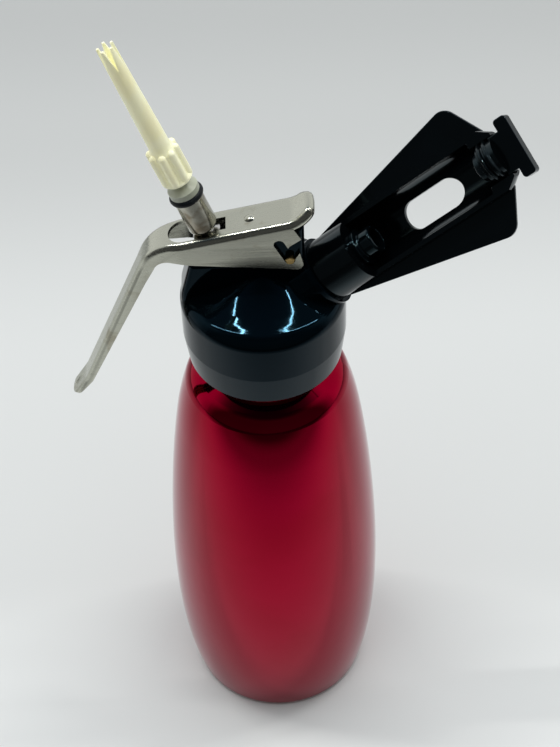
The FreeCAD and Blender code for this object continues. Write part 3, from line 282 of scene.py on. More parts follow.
def bead(name: str, spots: Sequence[Vector], radius: float) -> Piece:
    """Model a round bead along a line of spots.

    Args:
        name: Name of the piece.
        spots: Places on its centre line.
        radius: The bead's radius.

    Returns:
        The piece as a mesh.
    """
    bpy.ops.curve.primitive_bezier_curve_add(location=(0.0, 0.0, 0.0))
    curve = bpy.context.view_layer.objects.active.data
    points = curve.splines[0].bezier_points
    points.add(len(spots) - len(points))
    for point, spot in zip(points, spots):
        point.handle_left_type = point.handle_right_type = "AUTO"
        point.co = spot * MM
    curve.dimensions = "3D"
    curve.bevel_depth = radius * MM
    curve.bevel_resolution = 5
    curve.use_fill_caps = True
    bpy.ops.object.convert(target="MESH")
    return named(name)


def pick(piece: Piece, test: Test) -> int:
    """Go into edit mode with the points selected that pass a test.

    Args:
        piece: The piece to work on.
        test: True for a point's place if it is wanted.

    Returns:
        The number of points selected.
    """
    take(piece)
    bpy.ops.object.mode_set(mode="EDIT")
    bpy.ops.mesh.select_mode(type="VERT")
    bpy.ops.mesh.select_all(action="DESELECT")
    mesh = bmesh.from_edit_mesh(piece.data)
    wanted = [point for point in mesh.verts if test(point.co / MM)]
    for point in wanted:
        point.select = True
    mesh.select_flush(True)
    bmesh.update_edit_mesh(piece.data)
    return len(wanted)


def move_where(piece: Piece, test: Test, rise: float) -> None:
    """Move the points that pass a test along Z.

    Args:
        piece: The piece to work on.
        test: True for a point's place if it moves.
        rise: The move.
    """
    if pick(piece, test):
        bpy.ops.transform.translate(value=(0.0, 0.0, rise * MM))
    bpy.ops.object.mode_set(mode="OBJECT")


def bevel_selected(width: float, segments: int) -> None:
    """Round the edges that are selected in edit mode, and leave it.

    Args:
        width: Width of the rounding.
        segments: Number of faces across it.
    """
    bpy.ops.mesh.bevel(offset=width * MM, segments=segments, profile=0.5, affect="EDGES", clamp_overlap=True)
    bpy.ops.object.mode_set(mode="OBJECT")


def trim_below(piece: Piece, height: float) -> None:
    """Cut a piece off flat and close the cut.

    Args:
        piece: The piece to cut.
        height: Height of the cut. What lies below goes.
    """
    take(piece)
    bpy.ops.object.mode_set(mode="EDIT")
    bpy.ops.mesh.select_all(action="SELECT")
    bpy.ops.mesh.bisect(plane_co=(0.0, 0.0, height * MM), plane_no=(0.0, 0.0, 1.0), use_fill=True,
                        clear_inner=True)
    bpy.ops.object.mode_set(mode="OBJECT")


def put(piece: Piece, matrix: Matrix) -> Piece:
    """Put a piece at its place and keep the place in its mesh.

    Args:
        piece: The piece to move.
        matrix: Matrix from the piece's own coordinates to the model's.

    Returns:
        The same piece.
    """
    take(piece)
    piece.matrix_world = matrix
    bpy.ops.object.transform_apply()
    return piece


def join(parts: Sequence[Piece]) -> Piece:
    """Join pieces into the first of them.

    Args:
        parts: The pieces, the one that stays first.

    Returns:
        The joined piece.
    """
    take(parts[0])
    for part in parts[1:]:
        part.select_set(True)
    bpy.ops.object.join()
    return parts[0]


def combine(piece: Piece, tool: Piece, way: str) -> None:
    """Cut a tool's shape out of a piece, or melt it in, and remove the tool.

    Args:
        piece: The piece to change.
        tool: The shape to take away or to add.
        way: "DIFFERENCE" or "UNION".
    """
    take(piece)
    change = piece.modifiers.new("combine", "BOOLEAN")
    change.operation = way
    change.solver = "EXACT"
    change.object = tool
    bpy.ops.object.modifier_apply(modifier=change.name)
    take(tool)
    bpy.ops.object.delete()


def soften(piece: Piece, width: float, angle: float = EDGE_ANGLE, segments: int = 3) -> None:
    """Round the edges that are sharper than an angle.

    Args:
        piece: The piece to finish.
        width: Width of the rounding.
        angle: Edges that turn by more than this are rounded.
        segments: Number of faces across the rounding.
    """
    take(piece)
    bevel = piece.modifiers.new("edges", "BEVEL")
    bevel.width = width * MM
    bevel.segments = segments
    bevel.limit_method = "ANGLE"
    bevel.angle_limit = math.radians(angle)
    bevel.use_clamp_overlap = True
    bevel.miter_outer = "MITER_ARC"
    bpy.ops.object.modifier_apply(modifier=bevel.name)


def soften_apart_from(piece: Piece, width: float, skip: Test) -> None:
    """Round the sharp edges, leaving out those whose two points pass a test.

    Args:
        piece: The piece to finish.
        width: Width of the rounding.
        skip: True for a point's place if it stays sharp.
    """
    take(piece)
    bpy.ops.object.mode_set(mode="EDIT")
    bpy.ops.mesh.select_mode(type="EDGE")
    bpy.ops.mesh.select_all(action="DESELECT")
    bpy.ops.mesh.edges_select_sharp(sharpness=math.radians(EDGE_ANGLE))
    mesh = bmesh.from_edit_mesh(piece.data)
    for edge in mesh.edges:
        if edge.select and all(skip(point.co / MM) for point in edge.verts):
            edge.select = False
    bmesh.update_edit_mesh(piece.data)
    bevel_selected(width, 3)


def smooth(piece: Piece) -> None:
    """Shade a piece smoothly, apart from its sharp edges.

    Args:
        piece: The piece to finish.
    """
    take(piece)
    bpy.ops.object.shade_smooth_by_angle(angle=math.radians(SMOOTH_ANGLE))
    weigh = piece.modifiers.new("normals", "WEIGHTED_NORMAL")
    weigh.mode = "FACE_AREA_WITH_ANGLE"
    weigh.keep_sharp = True
    bpy.ops.object.modifier_apply(modifier=weigh.name)


# ------------------------------------------------------------------ boards of nodes
class Board:
    """The nodes of one tree."""

    def __init__(self, tree: bpy.types.NodeTree) -> None:
        """Start on a tree.

        Args:
            tree: The tree to work in.
        """
        self.tree = tree

    def add(self, kind: str, **settings: object) -> Node:
        """Add a node.

        Args:
            kind: Blender's name of the node's type.
            **settings: Attributes to set, or input values where the name is an input's.

        Returns:
            The new node.
        """
        node = self.tree.nodes.new(kind)
        for key, value in settings.items():
            if hasattr(node, key):
                setattr(node, key, value)
            else:
                node.inputs[key.replace("_", " ")].default_value = value
        return node

    def link(self, source: Socket, target: Socket) -> None:
        """Link an output to an input."""
        self.tree.links.new(source, target)

    def ramp(self, stops: Sequence[tuple[float, Colour]]) -> Node:
        """Add a ramp that eases from colour to colour.

        Args:
            stops: Place, from 0 to 1, and colour of each stop.

        Returns:
            The ramp's node.
        """
        node = self.add("ShaderNodeValToRGB")
        ramp = node.color_ramp
        ramp.interpolation = "EASE"
        while len(ramp.elements) < len(stops):
            ramp.elements.new(0.5)
        for element, (place, colour) in zip(ramp.elements, stops):
            element.position = place
            element.color = (*colour, 1.0)
        return node


class Effect(Enum):
    """Node groups that several finishes share."""

    GRAIN = "Fine grain"
    STREAKS = "Drawn streaks"
    SMUDGE = "Handling smudges"


class Group(Board):
    """A shader node group with named sockets.

    Attributes:
        value: Type of a socket that takes a number.
        place: The input that takes the place on the piece.
        limits: The inputs that take the lowest and the highest value put out.
        noise_span: The part of a noise's range that is spread between the limits.
    """

    value: str = "NodeSocketFloat"
    place: tuple[str, str, None] = ("Vector", "NodeSocketVector", None)
    limits: tuple[tuple[str, str, float], ...] = (("Low", value, 0.2), ("High", value, 0.3))
    noise_span: Span = (0.3, 0.7)

    def __init__(self, effect: Effect, inputs: Sequence[tuple[str, str, object]], outputs: Sequence[str]) -> None:
        """Start the group.

        Args:
            effect: Which effect it makes.
            inputs: Name, socket type and default of each input.
            outputs: Name of each value that the group puts out.
        """
        super().__init__(bpy.data.node_groups.new(effect.value, "ShaderNodeTree"))
        for label, kind, default in inputs:
            socket = self.tree.interface.new_socket(label, in_out="INPUT", socket_type=kind)
            if default is not None:
                socket.default_value = default
        for label in outputs:
            self.tree.interface.new_socket(label, in_out="OUTPUT", socket_type=self.value)
        self.given = self.add("NodeGroupInput").outputs
        self.result = self.add("NodeGroupOutput").inputs

    def put_out(self, noise: Node) -> None:
        """Put a noise out as a height, and as a value between the group's two limits.

        Args:
            noise: The noise's node.
        """
        spread = self.add("ShaderNodeMapRange", From_Min=self.noise_span[0], From_Max=self.noise_span[1])
        self.link(noise.outputs["Fac"], spread.inputs["Value"])
        self.link(self.given["Low"], spread.inputs["To Min"])
        self.link(self.given["High"], spread.inputs["To Max"])
        self.link(spread.outputs["Result"], self.result["Value"])
        self.link(noise.outputs["Fac"], self.result["Height"])


def build_grain() -> None:
    """Even small-scale variation, as a value between two limits and as a height."""
    group = Group(Effect.GRAIN, [Group.place, ("Scale", Group.value, 400.0), *Group.limits], ["Value", "Height"])
    noise = group.add("ShaderNodeTexNoise", Detail=4.0, Roughness=0.55)
    group.link(group.given["Vector"], noise.inputs["Vector"])
    group.link(group.given["Scale"], noise.inputs["Scale"])
    group.put_out(noise)


def build_streaks() -> None:
    """Fine parallel lines, as rolling, drawing or brushing leaves them."""
    group = Group(Effect.STREAKS, [Group.place, ("Stretch", "NodeSocketVector", (1.0, 1.0, 1.0)), *Group.limits],
                  ["Value", "Height"])
    pull = group.add("ShaderNodeVectorMath", operation="MULTIPLY")
    group.link(group.given["Vector"], pull.inputs[0])
    group.link(group.given["Stretch"], pull.inputs[1])
    noise = group.add("ShaderNodeTexNoise", Scale=1.0, Detail=5.0, Roughness=0.6)
    group.link(pull.outputs["Vector"], noise.inputs["Vector"])
    group.put_out(noise)


def build_smudge() -> None:
    """Soft uneven patches, as hands and washing leave them."""
    group = Group(Effect.SMUDGE, [Group.place, ("Scale", Group.value, 30.0), ("Coverage", Group.value, 0.5)],
                  ["Mask"])
    noise = group.add("ShaderNodeTexNoise", Detail=3.0, Roughness=0.5, Distortion=0.6)
    group.link(group.given["Vector"], noise.inputs["Vector"])
    group.link(group.given["Scale"], noise.inputs["Scale"])
    start = group.add("ShaderNodeMath", operation="SUBTRACT")
    start.inputs[0].default_value = 1.0
    group.link(group.given["Coverage"], start.inputs[1])
    end = group.add("ShaderNodeMath", operation="ADD")
    end.inputs[1].default_value = 0.25
    group.link(start.outputs[0], end.inputs[0])
    spread = group.add("ShaderNodeMapRange", interpolation_type="SMOOTHSTEP")
    group.link(noise.outputs["Fac"], spread.inputs["Value"])
    group.link(start.outputs[0], spread.inputs["From Min"])
    group.link(end.outputs[0], spread.inputs["From Max"])
    group.link(spread.outputs["Result"], group.result["Mask"])


# ------------------------------------------------------------------ finishes
@dataclass(frozen=True)
class Finish:
    """A surface with a fine structure and a colour that drifts in soft patches.

    Attributes:
        name: The material's name.
        slot: The record's slot that it belongs to.
        colour: Main colour.
        shade: Second colour that it drifts towards.
        roughness: Lowest and highest roughness.
        patches: How small the patches are, and the share of the surface that they cover.
        relief: Share of the structure's relief that shows, and its depth.
    """

    name: str
    slot: str
    colour: Colour
    shade: Colour
    roughness: Span
    patches: Span = (120.0, 0.45)
    relief: Span = (0.12, 0.02)

    def build(self) -> Material:
        """Build the material.

        Returns:
            The material.
        """
        coat = Coat(self)
        height = self.lay(coat)
        coat.drift(self.mask(coat))
        coat.emboss(height, *self.relief)
        return coat.material

    def lay(self, coat: Coat) -> Socket:
        """Set what is special to the kind of surface and return the height of its structure."""
        raise NotImplementedError

    def mask(self, coat: Coat) -> Socket:
        """Mask of the places where the colour gives way to the shade."""
        scale, share = self.patches
        return coat.effect(Effect.SMUDGE, Scale=scale, Coverage=share).outputs["Mask"]


class Coat(Board):
    """The nodes of one material, around its main shader."""

    def __init__(self, finish: Finish) -> None:
        """Start the material.

        Args:
            finish: The finish that it shows.
        """
        self.finish = finish
        self.material = bpy.data.materials.new(finish.name)
        self.material.use_nodes = True
        self.material.diffuse_color = (*finish.colour, 1.0)
        super().__init__(self.material.node_tree)
        self.shader = self.tree.nodes["Principled BSDF"].inputs
        self.place = self.add("ShaderNodeTexCoord").outputs["Object"]

    def fix(self, **values: object) -> None:
        """Give inputs of the main shader one value all over."""
        for key, value in values.items():
            self.shader[key.replace("_", " ")].default_value = value

    def effect(self, kind: Effect, **values: object) -> Node:
        """Place a shared effect.

        Args:
            kind: Which effect.
            **values: The effect's input values.

        Returns:
            The group's node.
        """
        node = self.add("ShaderNodeGroup", node_tree=bpy.data.node_groups[kind.value])
        for key, value in values.items():
            node.inputs[key].default_value = value
        self.link(self.place, node.inputs["Vector"])
        return node

    def roughen(self, kind: Effect, **values: object) -> Socket:
        """Let an effect set the roughness between the finish's two limits.

        Args:
            kind: Which effect.
            **values: The effect's input values.

        Returns:
            The effect's height.
        """
        low, high = self.finish.roughness
        node = self.effect(kind, Low=low, High=high, **values)
        self.link(node.outputs["Value"], self.shader["Roughness"])
        return node.outputs["Height"]

    def drift(self, mask: Socket) -> None:
        """Let the base colour drift from the finish's colour to its shade.

        Args:
            mask: 0 where the colour shows, 1 where the shade does.
        """
        mix = self.add("ShaderNodeMix", data_type="RGBA")
        mix.inputs["A"].default_value = (*self.finish.colour, 1.0)
        mix.inputs["B"].default_value = (*self.finish.shade, 1.0)
        self.link(mask, mix.inputs["Factor"])
        self.link(mix.outputs["Result"], self.shader["Base Color"])

    def emboss(self, height: Socket, strength: float, depth: float) -> None:
        """Add a fine relief.

        Args:
            height: The relief's height.
            strength: Share of the relief that shows.
            depth: The relief's depth.
        """
        bump = self.add("ShaderNodeBump", Strength=strength, Distance=depth * MM)
        self.link(height, bump.inputs["Height"])
        self.link(bump.outputs["Normal"], self.shader["Normal"])


@dataclass(frozen=True)
class WorkedMetal(Finish):
    """Stamped, drawn or turned metal with fine lines and light stains, bare or anodised.

    Attributes:
        stretch: How the lines are stretched.
        rim: Colour of the light that it reflects at a low angle.
    """

    stretch: Triple = (20.0, 900.0, 900.0)
    rim: Colour = (1.0, 1.0, 1.0)

    def lay(self, coat: Coat) -> Socket:
        """Set the metal up and return the height of its lines."""
        coat.fix(Metallic=1.0, Specular_Tint=(*self.rim, 1.0))
        return coat.roughen(Effect.STREAKS, Stretch=self.stretch)


@dataclass(frozen=True)
class GlossPlastic(Finish):
    """Moulded plastic with a polished skin and a slow waviness.

    Attributes:
        shine: Strength of the reflection, 0.5 for common plastic.
        sheen: Colour that the dye gives to the reflection.
        grain_scale: How fine the grain is.
        wave_scale: How short the waves are.
    """

    patches: Span = (35.0, 0.5)
    relief: Span = (0.4, 0.02)
    shine: float = 0.3
    sheen: Colour = (0.5, 0.85, 1.0)
    grain_scale: float = 90.0
    wave_scale: float = 260.0

    def lay(self, coat: Coat) -> Socket:
        """Set the skin up.

        Args:
            coat: The material's nodes.

        Returns:
            The height of its waves.
        """
        coat.fix(Specular_IOR_Level=self.shine, Specular_Tint=(*self.sheen, 1.0))
        coat.roughen(Effect.GRAIN, Scale=self.grain_scale)
        return coat.effect(Effect.GRAIN, Scale=self.wave_scale).outputs["Height"]


@dataclass(frozen=True)
class BandedPlastic(GlossPlastic):
    """Polished plastic with a duller band at its foot, where the colour is painted paler as a painted reflection.

    Attributes:
        band: Height up to which the band reaches, and height over which it fades.
        band_roughness: Roughness of the band.
    """

    band: Span = (BAND_TOP, 0.3)
    band_roughness: float = 0.16

    def mask(self, coat: Coat) -> Socket:
        """Give the band its own roughness and a paler colour, the paler colour being a painted reflection.

        Args:
            coat: The material's nodes.

        Returns:
            The band's mask.
        """
        top, fade = self.band
        split = coat.add("ShaderNodeSeparateXYZ")
        coat.link(coat.place, split.inputs["Vector"])
        band = coat.add("ShaderNodeMapRange", From_Min=(top + fade) * MM, From_Max=top * MM)
        coat.link(split.outputs["Z"], band.inputs["Value"])
        level = coat.add("ShaderNodeMix", data_type="FLOAT")
        coat.link(band.outputs["Result"], level.inputs["Factor"])
        coat.link(coat.shader["Roughness"].links[0].from_socket, level.inputs["A"])
        level.inputs["B"].default_value = self.band_roughness
        coat.link(level.outputs["Result"], coat.shader["Roughness"])
        return band.outputs["Result"]


@dataclass(frozen=True)
class SoftPlastic(Finish):
    """Translucent moulded plastic.

    Attributes:
        depth: How far light travels inside.
        glow: Weight of the light that travels inside.
        painted_glow: Strength of a painted glow, an emission in the plastic's own colour that stands in for light.
        grain_scale: How fine the grain is.
    """

    patches: Span = (60.0, 0.6)
    relief: Span = (0.2, 0.03)
    depth: float = 2.0
    glow: float = 0.6
    painted_glow: float = 0.0
    grain_scale: float = 700.0

    def lay(self, coat: Coat) -> Socket:
        """Set the plastic up.

        Args:
            coat: The material's nodes.

        Returns:
            The height of its grain.
        """
        # The emission is a painted glow in the plastic's own colour, not light from a lamp.
        coat.fix(Subsurface_Weight=self.glow, Subsurface_Radius=(1.0, 1.0, 1.0), Subsurface_Scale=self.depth * MM,
                 Emission_Color=(*self.colour, 1.0), Emission_Strength=self.painted_glow)
        return coat.roughen(Effect.GRAIN, Scale=self.grain_scale)


@dataclass(frozen=True)
class Rubber(Finish):
    """Dull black elastomer with a little dust.

    Attributes:
        shine: Strength of the reflection.
        grain_scale: How fine the grain is.
    """

    patches: Span = (250.0, 0.45)
    relief: Span = (0.3, 0.03)
    shine: float = 0.22
    grain_scale: float = 1200.0

    def lay(self, coat: Coat) -> Socket:
        """Set the rubber up and return the height of its grain."""
        coat.fix(Specular_IOR_Level=self.shine)
        return coat.roughen(Effect.GRAIN, Scale=self.grain_scale)


FINISHES: dict[str, Finish] = {
    "red": WorkedMetal("Crimson anodised aluminium", "red_aluminium", (0.29, 0.0, 0.018), (0.26, 0.0, 0.014),
                       (0.05, 0.08), (14.0, 0.6), (0.03, 0.02), (260.0, 260.0, 9.0), rim=(1.0, 0.96, 0.98)),
    # The head's shade is the band's paler colour: a painted reflection.
    "head": BandedPlastic("Polished black head plastic", "gloss_black", (0.0005, 0.0016, 0.0026),
                          (0.001, 0.005, 0.0075), (0.03, 0.06), relief=(0.4, 0.03), shine=0.14,
                          sheen=(0.25, 0.68, 1.0)),
    "nose": GlossPlastic("Black nose plastic", "gloss_black", (0.0006, 0.0012, 0.0018), (0.0008, 0.0016, 0.0022),
                         (0.04, 0.08), shine=0.4),
    "holder": GlossPlastic("Black holder plastic", "holder_plastic", (0.0008, 0.0012, 0.0016),
                           (0.001, 0.0016, 0.0022), (0.10, 0.18), relief=(0.4, 0.03), shine=0.34,
                           sheen=(0.6, 0.88, 1.0)),
    "inner": GlossPlastic("Plain black plastic", "black_plastic", (0.004, 0.005, 0.006), (0.006, 0.007, 0.009),
                          (0.25, 0.35)),
    "lever": WorkedMetal("Stamped lever steel", "lever_steel", (0.47, 0.47, 0.40), (0.35, 0.33, 0.26),
                         (0.13, 0.32)),
    "tube": WorkedMetal("Drawn tube steel", "tube_steel", (0.40, 0.39, 0.335), (0.20, 0.17, 0.125), (0.10, 0.24),
                        (120.0, 0.55), stretch=(700.0, 700.0, 40.0)),
    "stem": WorkedMetal("Turned stem steel", "stem_steel", (0.58, 0.57, 0.55), (0.50, 0.49, 0.46), (0.15, 0.25),
                        (120.0, 0.3), stretch=(60.0, 60.0, 900.0)),
    "spring": WorkedMetal("Spring steel", "spring_steel", (0.55, 0.54, 0.52), (0.45, 0.43, 0.40), (0.2, 0.3),
                          (120.0, 0.3), stretch=(300.0, 300.0, 300.0)),
    "brass": WorkedMetal("Brass", "brass", (0.50, 0.35, 0.14), (0.30, 0.19, 0.07), (0.2, 0.32), (120.0, 0.5),
                         stretch=(600.0, 60.0, 600.0)),
    "rubber": Rubber("Black rubber", "black_rubber", (0.006, 0.008, 0.010), (0.014, 0.017, 0.019), (0.35, 0.5)),
    "ivory": SoftPlastic("Ivory plastic", "ivory_plastic", (0.50, 0.52, 0.42), (0.43, 0.45, 0.35), (0.28, 0.4),
                         depth=0.8, glow=0.3),
    # The cream tip carries a painted glow that brightens it as if lit.
    "cream": SoftPlastic("Cream plastic", "cream_plastic", (0.88, 0.87, 0.62), (0.86, 0.82, 0.52), (0.3, 0.42),
                         depth=1.2, glow=0.5, painted_glow=0.22),
}


class Palette:
    """Every finish of the dispenser, built once."""

    def __init__(self) -> None:
        """Build the effects and the materials."""
        for build in (build_grain, build_streaks, build_smudge):
            build()
        self.materials = {key: finish.build() for key, finish in FINISHES.items()}

    def dress(self, piece: Piece, key: str) -> None:
        """Give a piece or a solid its finish.

        Args:
            piece: The object to dress.
            key: Short name of the finish.
        """
        piece.data.materials.clear()
        piece.data.materials.append(self.materials[key])
        for face in piece.data.polygons:
            face.material_index = 0


# ------------------------------------------------------------------ sub-assemblies
class SubAssembly:
    """A group of pieces that belong together on the real object."""

    def __init__(self, nodes: dict[str, Piece], palette: Palette) -> None:
        """Keep what every sub-assembly needs.

        Args:
            nodes: The solids by name.
            palette: The finishes.
        """
        self.nodes = nodes
        self.palette = palette

    def keep(self, finishes: dict[str, str]) -> None:
        """Dress solids whose shape stays.

        Args:
            finishes: Short name of the finish of each solid.
        """
        for name, key in finishes.items():
            self.palette.dress(self.nodes[name], key)
            LOG.info("kept %s in %s", name, key)

    def replace(self, piece: Piece, node: str, body: str, key: str) -> None:
        """Let a finished piece stand for a solid.

        Args:
            piece: The new piece.
            node: The solid that it stands for.
            body: The body that it rides on.
            key: Short name of its finish.
        """
        self.palette.dress(piece, key)
        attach(piece, body)
        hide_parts(node)
        LOG.info("made %s for %s, %d faces", piece.name, node, len(piece.data.polygons))

    def softened(self, node: str, name: str, width: float) -> Piece:
        """Copy a solid and round its sharp edges.

        Args:
            node: The solid's name.
            name: Name of the new piece.
            width: Width of the rounding.

        Returns:
            The new piece.
        """
        piece = copy_of(self.nodes[node], name)
        soften(piece, width)
        smooth(piece)
        return piece


class Bottle(SubAssembly):
    """The aluminium bottle and the gasket on its mouth."""

    def build(self) -> None:
        """Dress the pieces."""
        self.keep({"bottle": "red", "head_gasket": "rubber"})


@dataclass(frozen=True)
class HeadSizes:
    """Sizes of the roundings and of the tapered band at the head's rim."""

    # Roundings of the head's edges, of those that turn by more than the angle, and of the nose's.
    edge: float = 0.5
    edge_angle: float = 24.0
    nose_edge: float = 0.3
    # The rim's height and radius, the radius of its rounding, and how high the middle of the rounding
    # lies, as a share of that radius.
    rim_height: float = 243.4
    rim_radius: float = 35.3
    rim_edge: float = 0.7
    rim_turn: float = 0.2
    # The band's outside at its top, the wider stretch inside its foot, and the bore.
    top_radius: float = 37.1
    relief_radius: float = 32.6
    relief_height: float = 3.4
    relief_edge: float = 0.3
    bore_radius: float = 30.05
    segments: int = 192


class Head(SubAssembly):
    """The moulded head with the pin and the gas inlet's inner pieces."""

    sizes = HeadSizes()

    def build(self) -> None:
        """Model and dress the pieces."""
        size = self.sizes
        cap = copy_of(self.nodes["head_body"], "moulded_head")
        soften(cap, size.edge, size.edge_angle)
        trim_below(cap, BAND_TOP)
        cap = join([cap, self.make_band()])
        smooth(cap)
        self.replace(cap, "head_body", "head", "head")
        self.keep({"pivot_pin": "brass", "spring_washer": "spring", "valve_spring": "spring",
                   "inlet_fitting": "brass", "inlet_fitting_seal": "rubber", "inlet_check_sleeve": "rubber",
                   "piercing_pin": "stem", "charger_seal": "rubber"})
        nose = self.softened("seal_retainer", "charger_nose", size.nose_edge)
        self.replace(nose, "seal_retainer", "head", "nose")

    def make_band(self) -> Piece:
        """Model the tapered band as a turned ring with a rounded rim.

        Returns:
            The band, with the relief inside it.
        """
        size = self.sizes
        slope = math.atan2(size.top_radius - size.rim_radius, BAND_TOP - size.rim_height)
        turn_r = size.rim_radius - size.rim_edge * math.tan(math.pi / 4 - slope / 2)
        step_z = size.rim_height + size.relief_height
        outline = [(size.top_radius, BAND_TOP),
                   (size.rim_radius + size.rim_edge * math.sin(slope),
                    size.rim_height + size.rim_edge * math.cos(slope)),
                   (turn_r + size.rim_edge * math.sin(math.pi / 4), size.rim_height + size.rim_edge * size.rim_turn),
                   (turn_r, size.rim_height), (size.relief_radius + size.relief_edge, size.rim_height),
                   (size.relief_radius, size.rim_height + size.relief_edge), (size.relief_radius, step_z),
                   (size.bore_radius, step_z), (size.bore_radius, BAND_TOP), (size.top_radius, BAND_TOP)]
        return lathe("rim_band", outline, size.segments)


@dataclass(frozen=True)
class LeverSizes:
    """Sizes of the lever's tab, lip, handle and dish in its own frame."""

    edge: float = 0.3
    # The plate's rear end and top face, and the bend, slope and rolled end of the thumb tab.
    plate_rear: float = 4.6
    plate_rise: float = 19.8
    root_radius: float = 5.0
    tab_rise: float = 30.0
    tab_run: float = 5.1
    roll_radius: float = 3.2
    plate_half_width: float = 9.5
    tab_half_width: float = 8.9
    # The lip: the bead, where it starts and turns in, and how far it lies under the plate and over the tab.
    lip_radius: float = 2.65
    lip_steps: int = 16
    lip_start: float = -1.0
    lip_turn: float = 1.0
    lip_sink: float = 0.04
    lip_lift: float = 0.03
    # The tool that cuts the tab back: its foot, start, rise over the plate, half width and reach.
    trim_low: float = 17.1
    trim_start: float = 4.0
    trim_rise: float = 12.0
    trim_half_width: float = 15.0
    trim_reach: float = 4.0
    trim_margin: float = 0.02
    # How far a tool stands past what it cuts, and how far the sheet stays inside the lip.
    tool_margin: float = 1.0
    tool_segments: int = 96
    sheet_overlap: float = 0.25
    # The bend into the handle, the handle, its kinked tip, and the dish pressed into it.
    bend_start: float = -47.5
    bend_radius: float = 20.0
    handle_turn: float = 54.7
    handle_length: float = 79.0
    tip_turn: float = 45.7
    tip_length: float = 14.2
    dish_length: float = 4.6
    dish_half_width: float = 1.5
    dish_depth: float = 0.5
    dish_margin: float = 2.0


class Lever(SubAssembly):
    """The folded lever with its rivet and stop block."""

    sizes = LeverSizes()

    def build(self) -> None:
        """Model and dress the pieces."""
        size, frame = self.sizes, lever_frame()
        sheet = copy_of(self.nodes["lever"], "folded_lever")
        combine(sheet, self.make_tab_trimmer(), "DIFFERENCE")
        combine(sheet, self.make_dish_tool(), "DIFFERENCE")

        def under_lip(spot: Vector) -> bool:
            """True for points on the cuts that the lip covers."""
            place = frame.local(spot)
            return place.x > size.trim_start - size.trim_margin and place.z > size.trim_low - size.trim_margin

        soften_apart_from(sheet, size.edge, under_lip)
        lever = join([sheet, self.make_lip()])
        smooth(lever)
        self.replace(lever, "lever", "lever", "lever")
        self.keep({"lever_rivet": "lever", "lever_stop_block": "inner"})

    def tab_height(self, run: float) -> float:
        """Height of the tab's top face at a place along the lever.

        Args:
            run: The place, from the pin backwards.

        Returns:
            The height above the pin.
        """
        size, rise = self.sizes, math.radians(self.sizes.tab_rise)
        root_end = size.plate_rear + size.root_radius * math.sin(rise)
        foot = size.plate_rise + size.root_radius
        if run < root_end:
            return foot - math.sqrt(size.root_radius ** 2 - max(run - size.plate_rear, 0.0) ** 2)
        top_start = root_end + size.tab_run * math.cos(rise)
        slope_foot = foot - size.root_radius * math.cos(rise)
        if run < top_start:
            return slope_foot + (run - root_end) * math.tan(rise)
        centre = top_start + size.roll_radius * math.sin(rise)
        centre_height = slope_foot + size.tab_run * math.sin(rise) - size.roll_radius * math.cos(rise)
        return centre_height + math.sqrt(max(size.roll_radius ** 2 - (run - centre) ** 2, 0.0))

    def tab_end(self) -> float:
        """Find where the rolled tab ends.

        Returns:
            The place, from the pin backwards.
        """
        size, rise = self.sizes, math.radians(self.sizes.tab_rise)
        top_start = size.plate_rear + size.root_radius * math.sin(rise) + size.tab_run * math.cos(rise)
        return top_start + size.roll_radius * (1.0 + math.sin(rise))

    def make_lip(self) -> Piece:
        """Model the rounded lip that carries the fold of the plate around the thumb tab.

        Returns:
            The lip, at its place.
        """
        size = self.sizes
        half = size.plate_half_width - size.lip_radius - size.lip_sink
        reach = size.tab_half_width - size.lip_radius
        centre = self.tab_end() - size.tab_half_width
        plan = [(size.lip_start, -half), (size.plate_rear - size.lip_turn, -half)]
        for step in range(size.lip_steps + 1):
            turn = math.pi * (step / size.lip_steps - 0.5)
            plan.append((centre + reach * math.cos(turn), reach * math.sin(turn)))
        plan += [(size.plate_rear - size.lip_turn, half), (size.lip_start, half)]
        spots, little = [], 0.01
        for run, side in plan:
            height = self.tab_height(run)
            slope = math.atan2(self.tab_height(run + little) - height, little)
            depth = size.lip_radius + (size.lip_sink if run < size.plate_rear else -size.lip_lift)
            spots.append(Vector((run + depth * math.sin(slope), side, height - depth * math.cos(slope))))
        return put(bead("tab_lip", spots, size.lip_radius), lever_frame().matrix)

    def make_tab_trimmer(self) -> Piece:
        """Model the block that takes the tab's square border away, so that the lip can follow.

        Returns:
            The tool, at its place.
        """
        size = self.sizes
        more, wide = size.tool_margin, size.trim_half_width
        reach = size.tab_half_width - size.lip_radius + size.sheet_overlap
        centre = self.tab_end() - size.tab_half_width
        low, high = size.trim_low, size.plate_rise + size.trim_rise
        first, last = size.trim_start, self.tab_end() + size.trim_reach
        block = cuboid("tab_trimmer", (first, -wide, low), (last, wide, high))
        keep = cuboid("tab_keep", (first - 2.0 * more, -reach, low - more), (centre, reach, high + more))
        bpy.ops.mesh.primitive_cylinder_add(vertices=size.tool_segments, radius=reach * MM,
                                            depth=(high - low + 2.0 * more) * MM,
                                            location=(centre * MM, 0.0, (high + low) / 2 * MM))
        combine(keep, named("tab_round"), "UNION")
        combine(block, keep, "DIFFERENCE")
        return put(block, lever_frame().matrix)

    def make_dish_tool(self) -> Piece:
        """Model the flat ball that presses the dish into the handle's tip.

        Returns:
            The tool, at its place.
        """
        size = self.sizes
        turn = math.radians(size.handle_turn)
        bend_end = Vector((size.bend_start - size.bend_radius * math.sin(turn), 0.0,
                           size.plate_rise - size.bend_radius * (1.0 - math.cos(turn))))
        kink = bend_end - along(size.handle_turn) * size.handle_length
        run, out = -along(size.tip_turn), along(90.0 + size.tip_turn)
        spot = kink + run * (size.tip_length - size.dish_length - size.dish_margin)
        bpy.ops.mesh.primitive_uv_sphere_add(segments=32, ring_count=16, radius=MM)
        bpy.ops.transform.resize(value=(size.dish_length, size.dish_half_width, size.dish_depth))
        dish = LocalFrame(spot, run, out.cross(run), out)
        return put(named("dish_tool"), lever_frame().matrix @ dish.matrix)


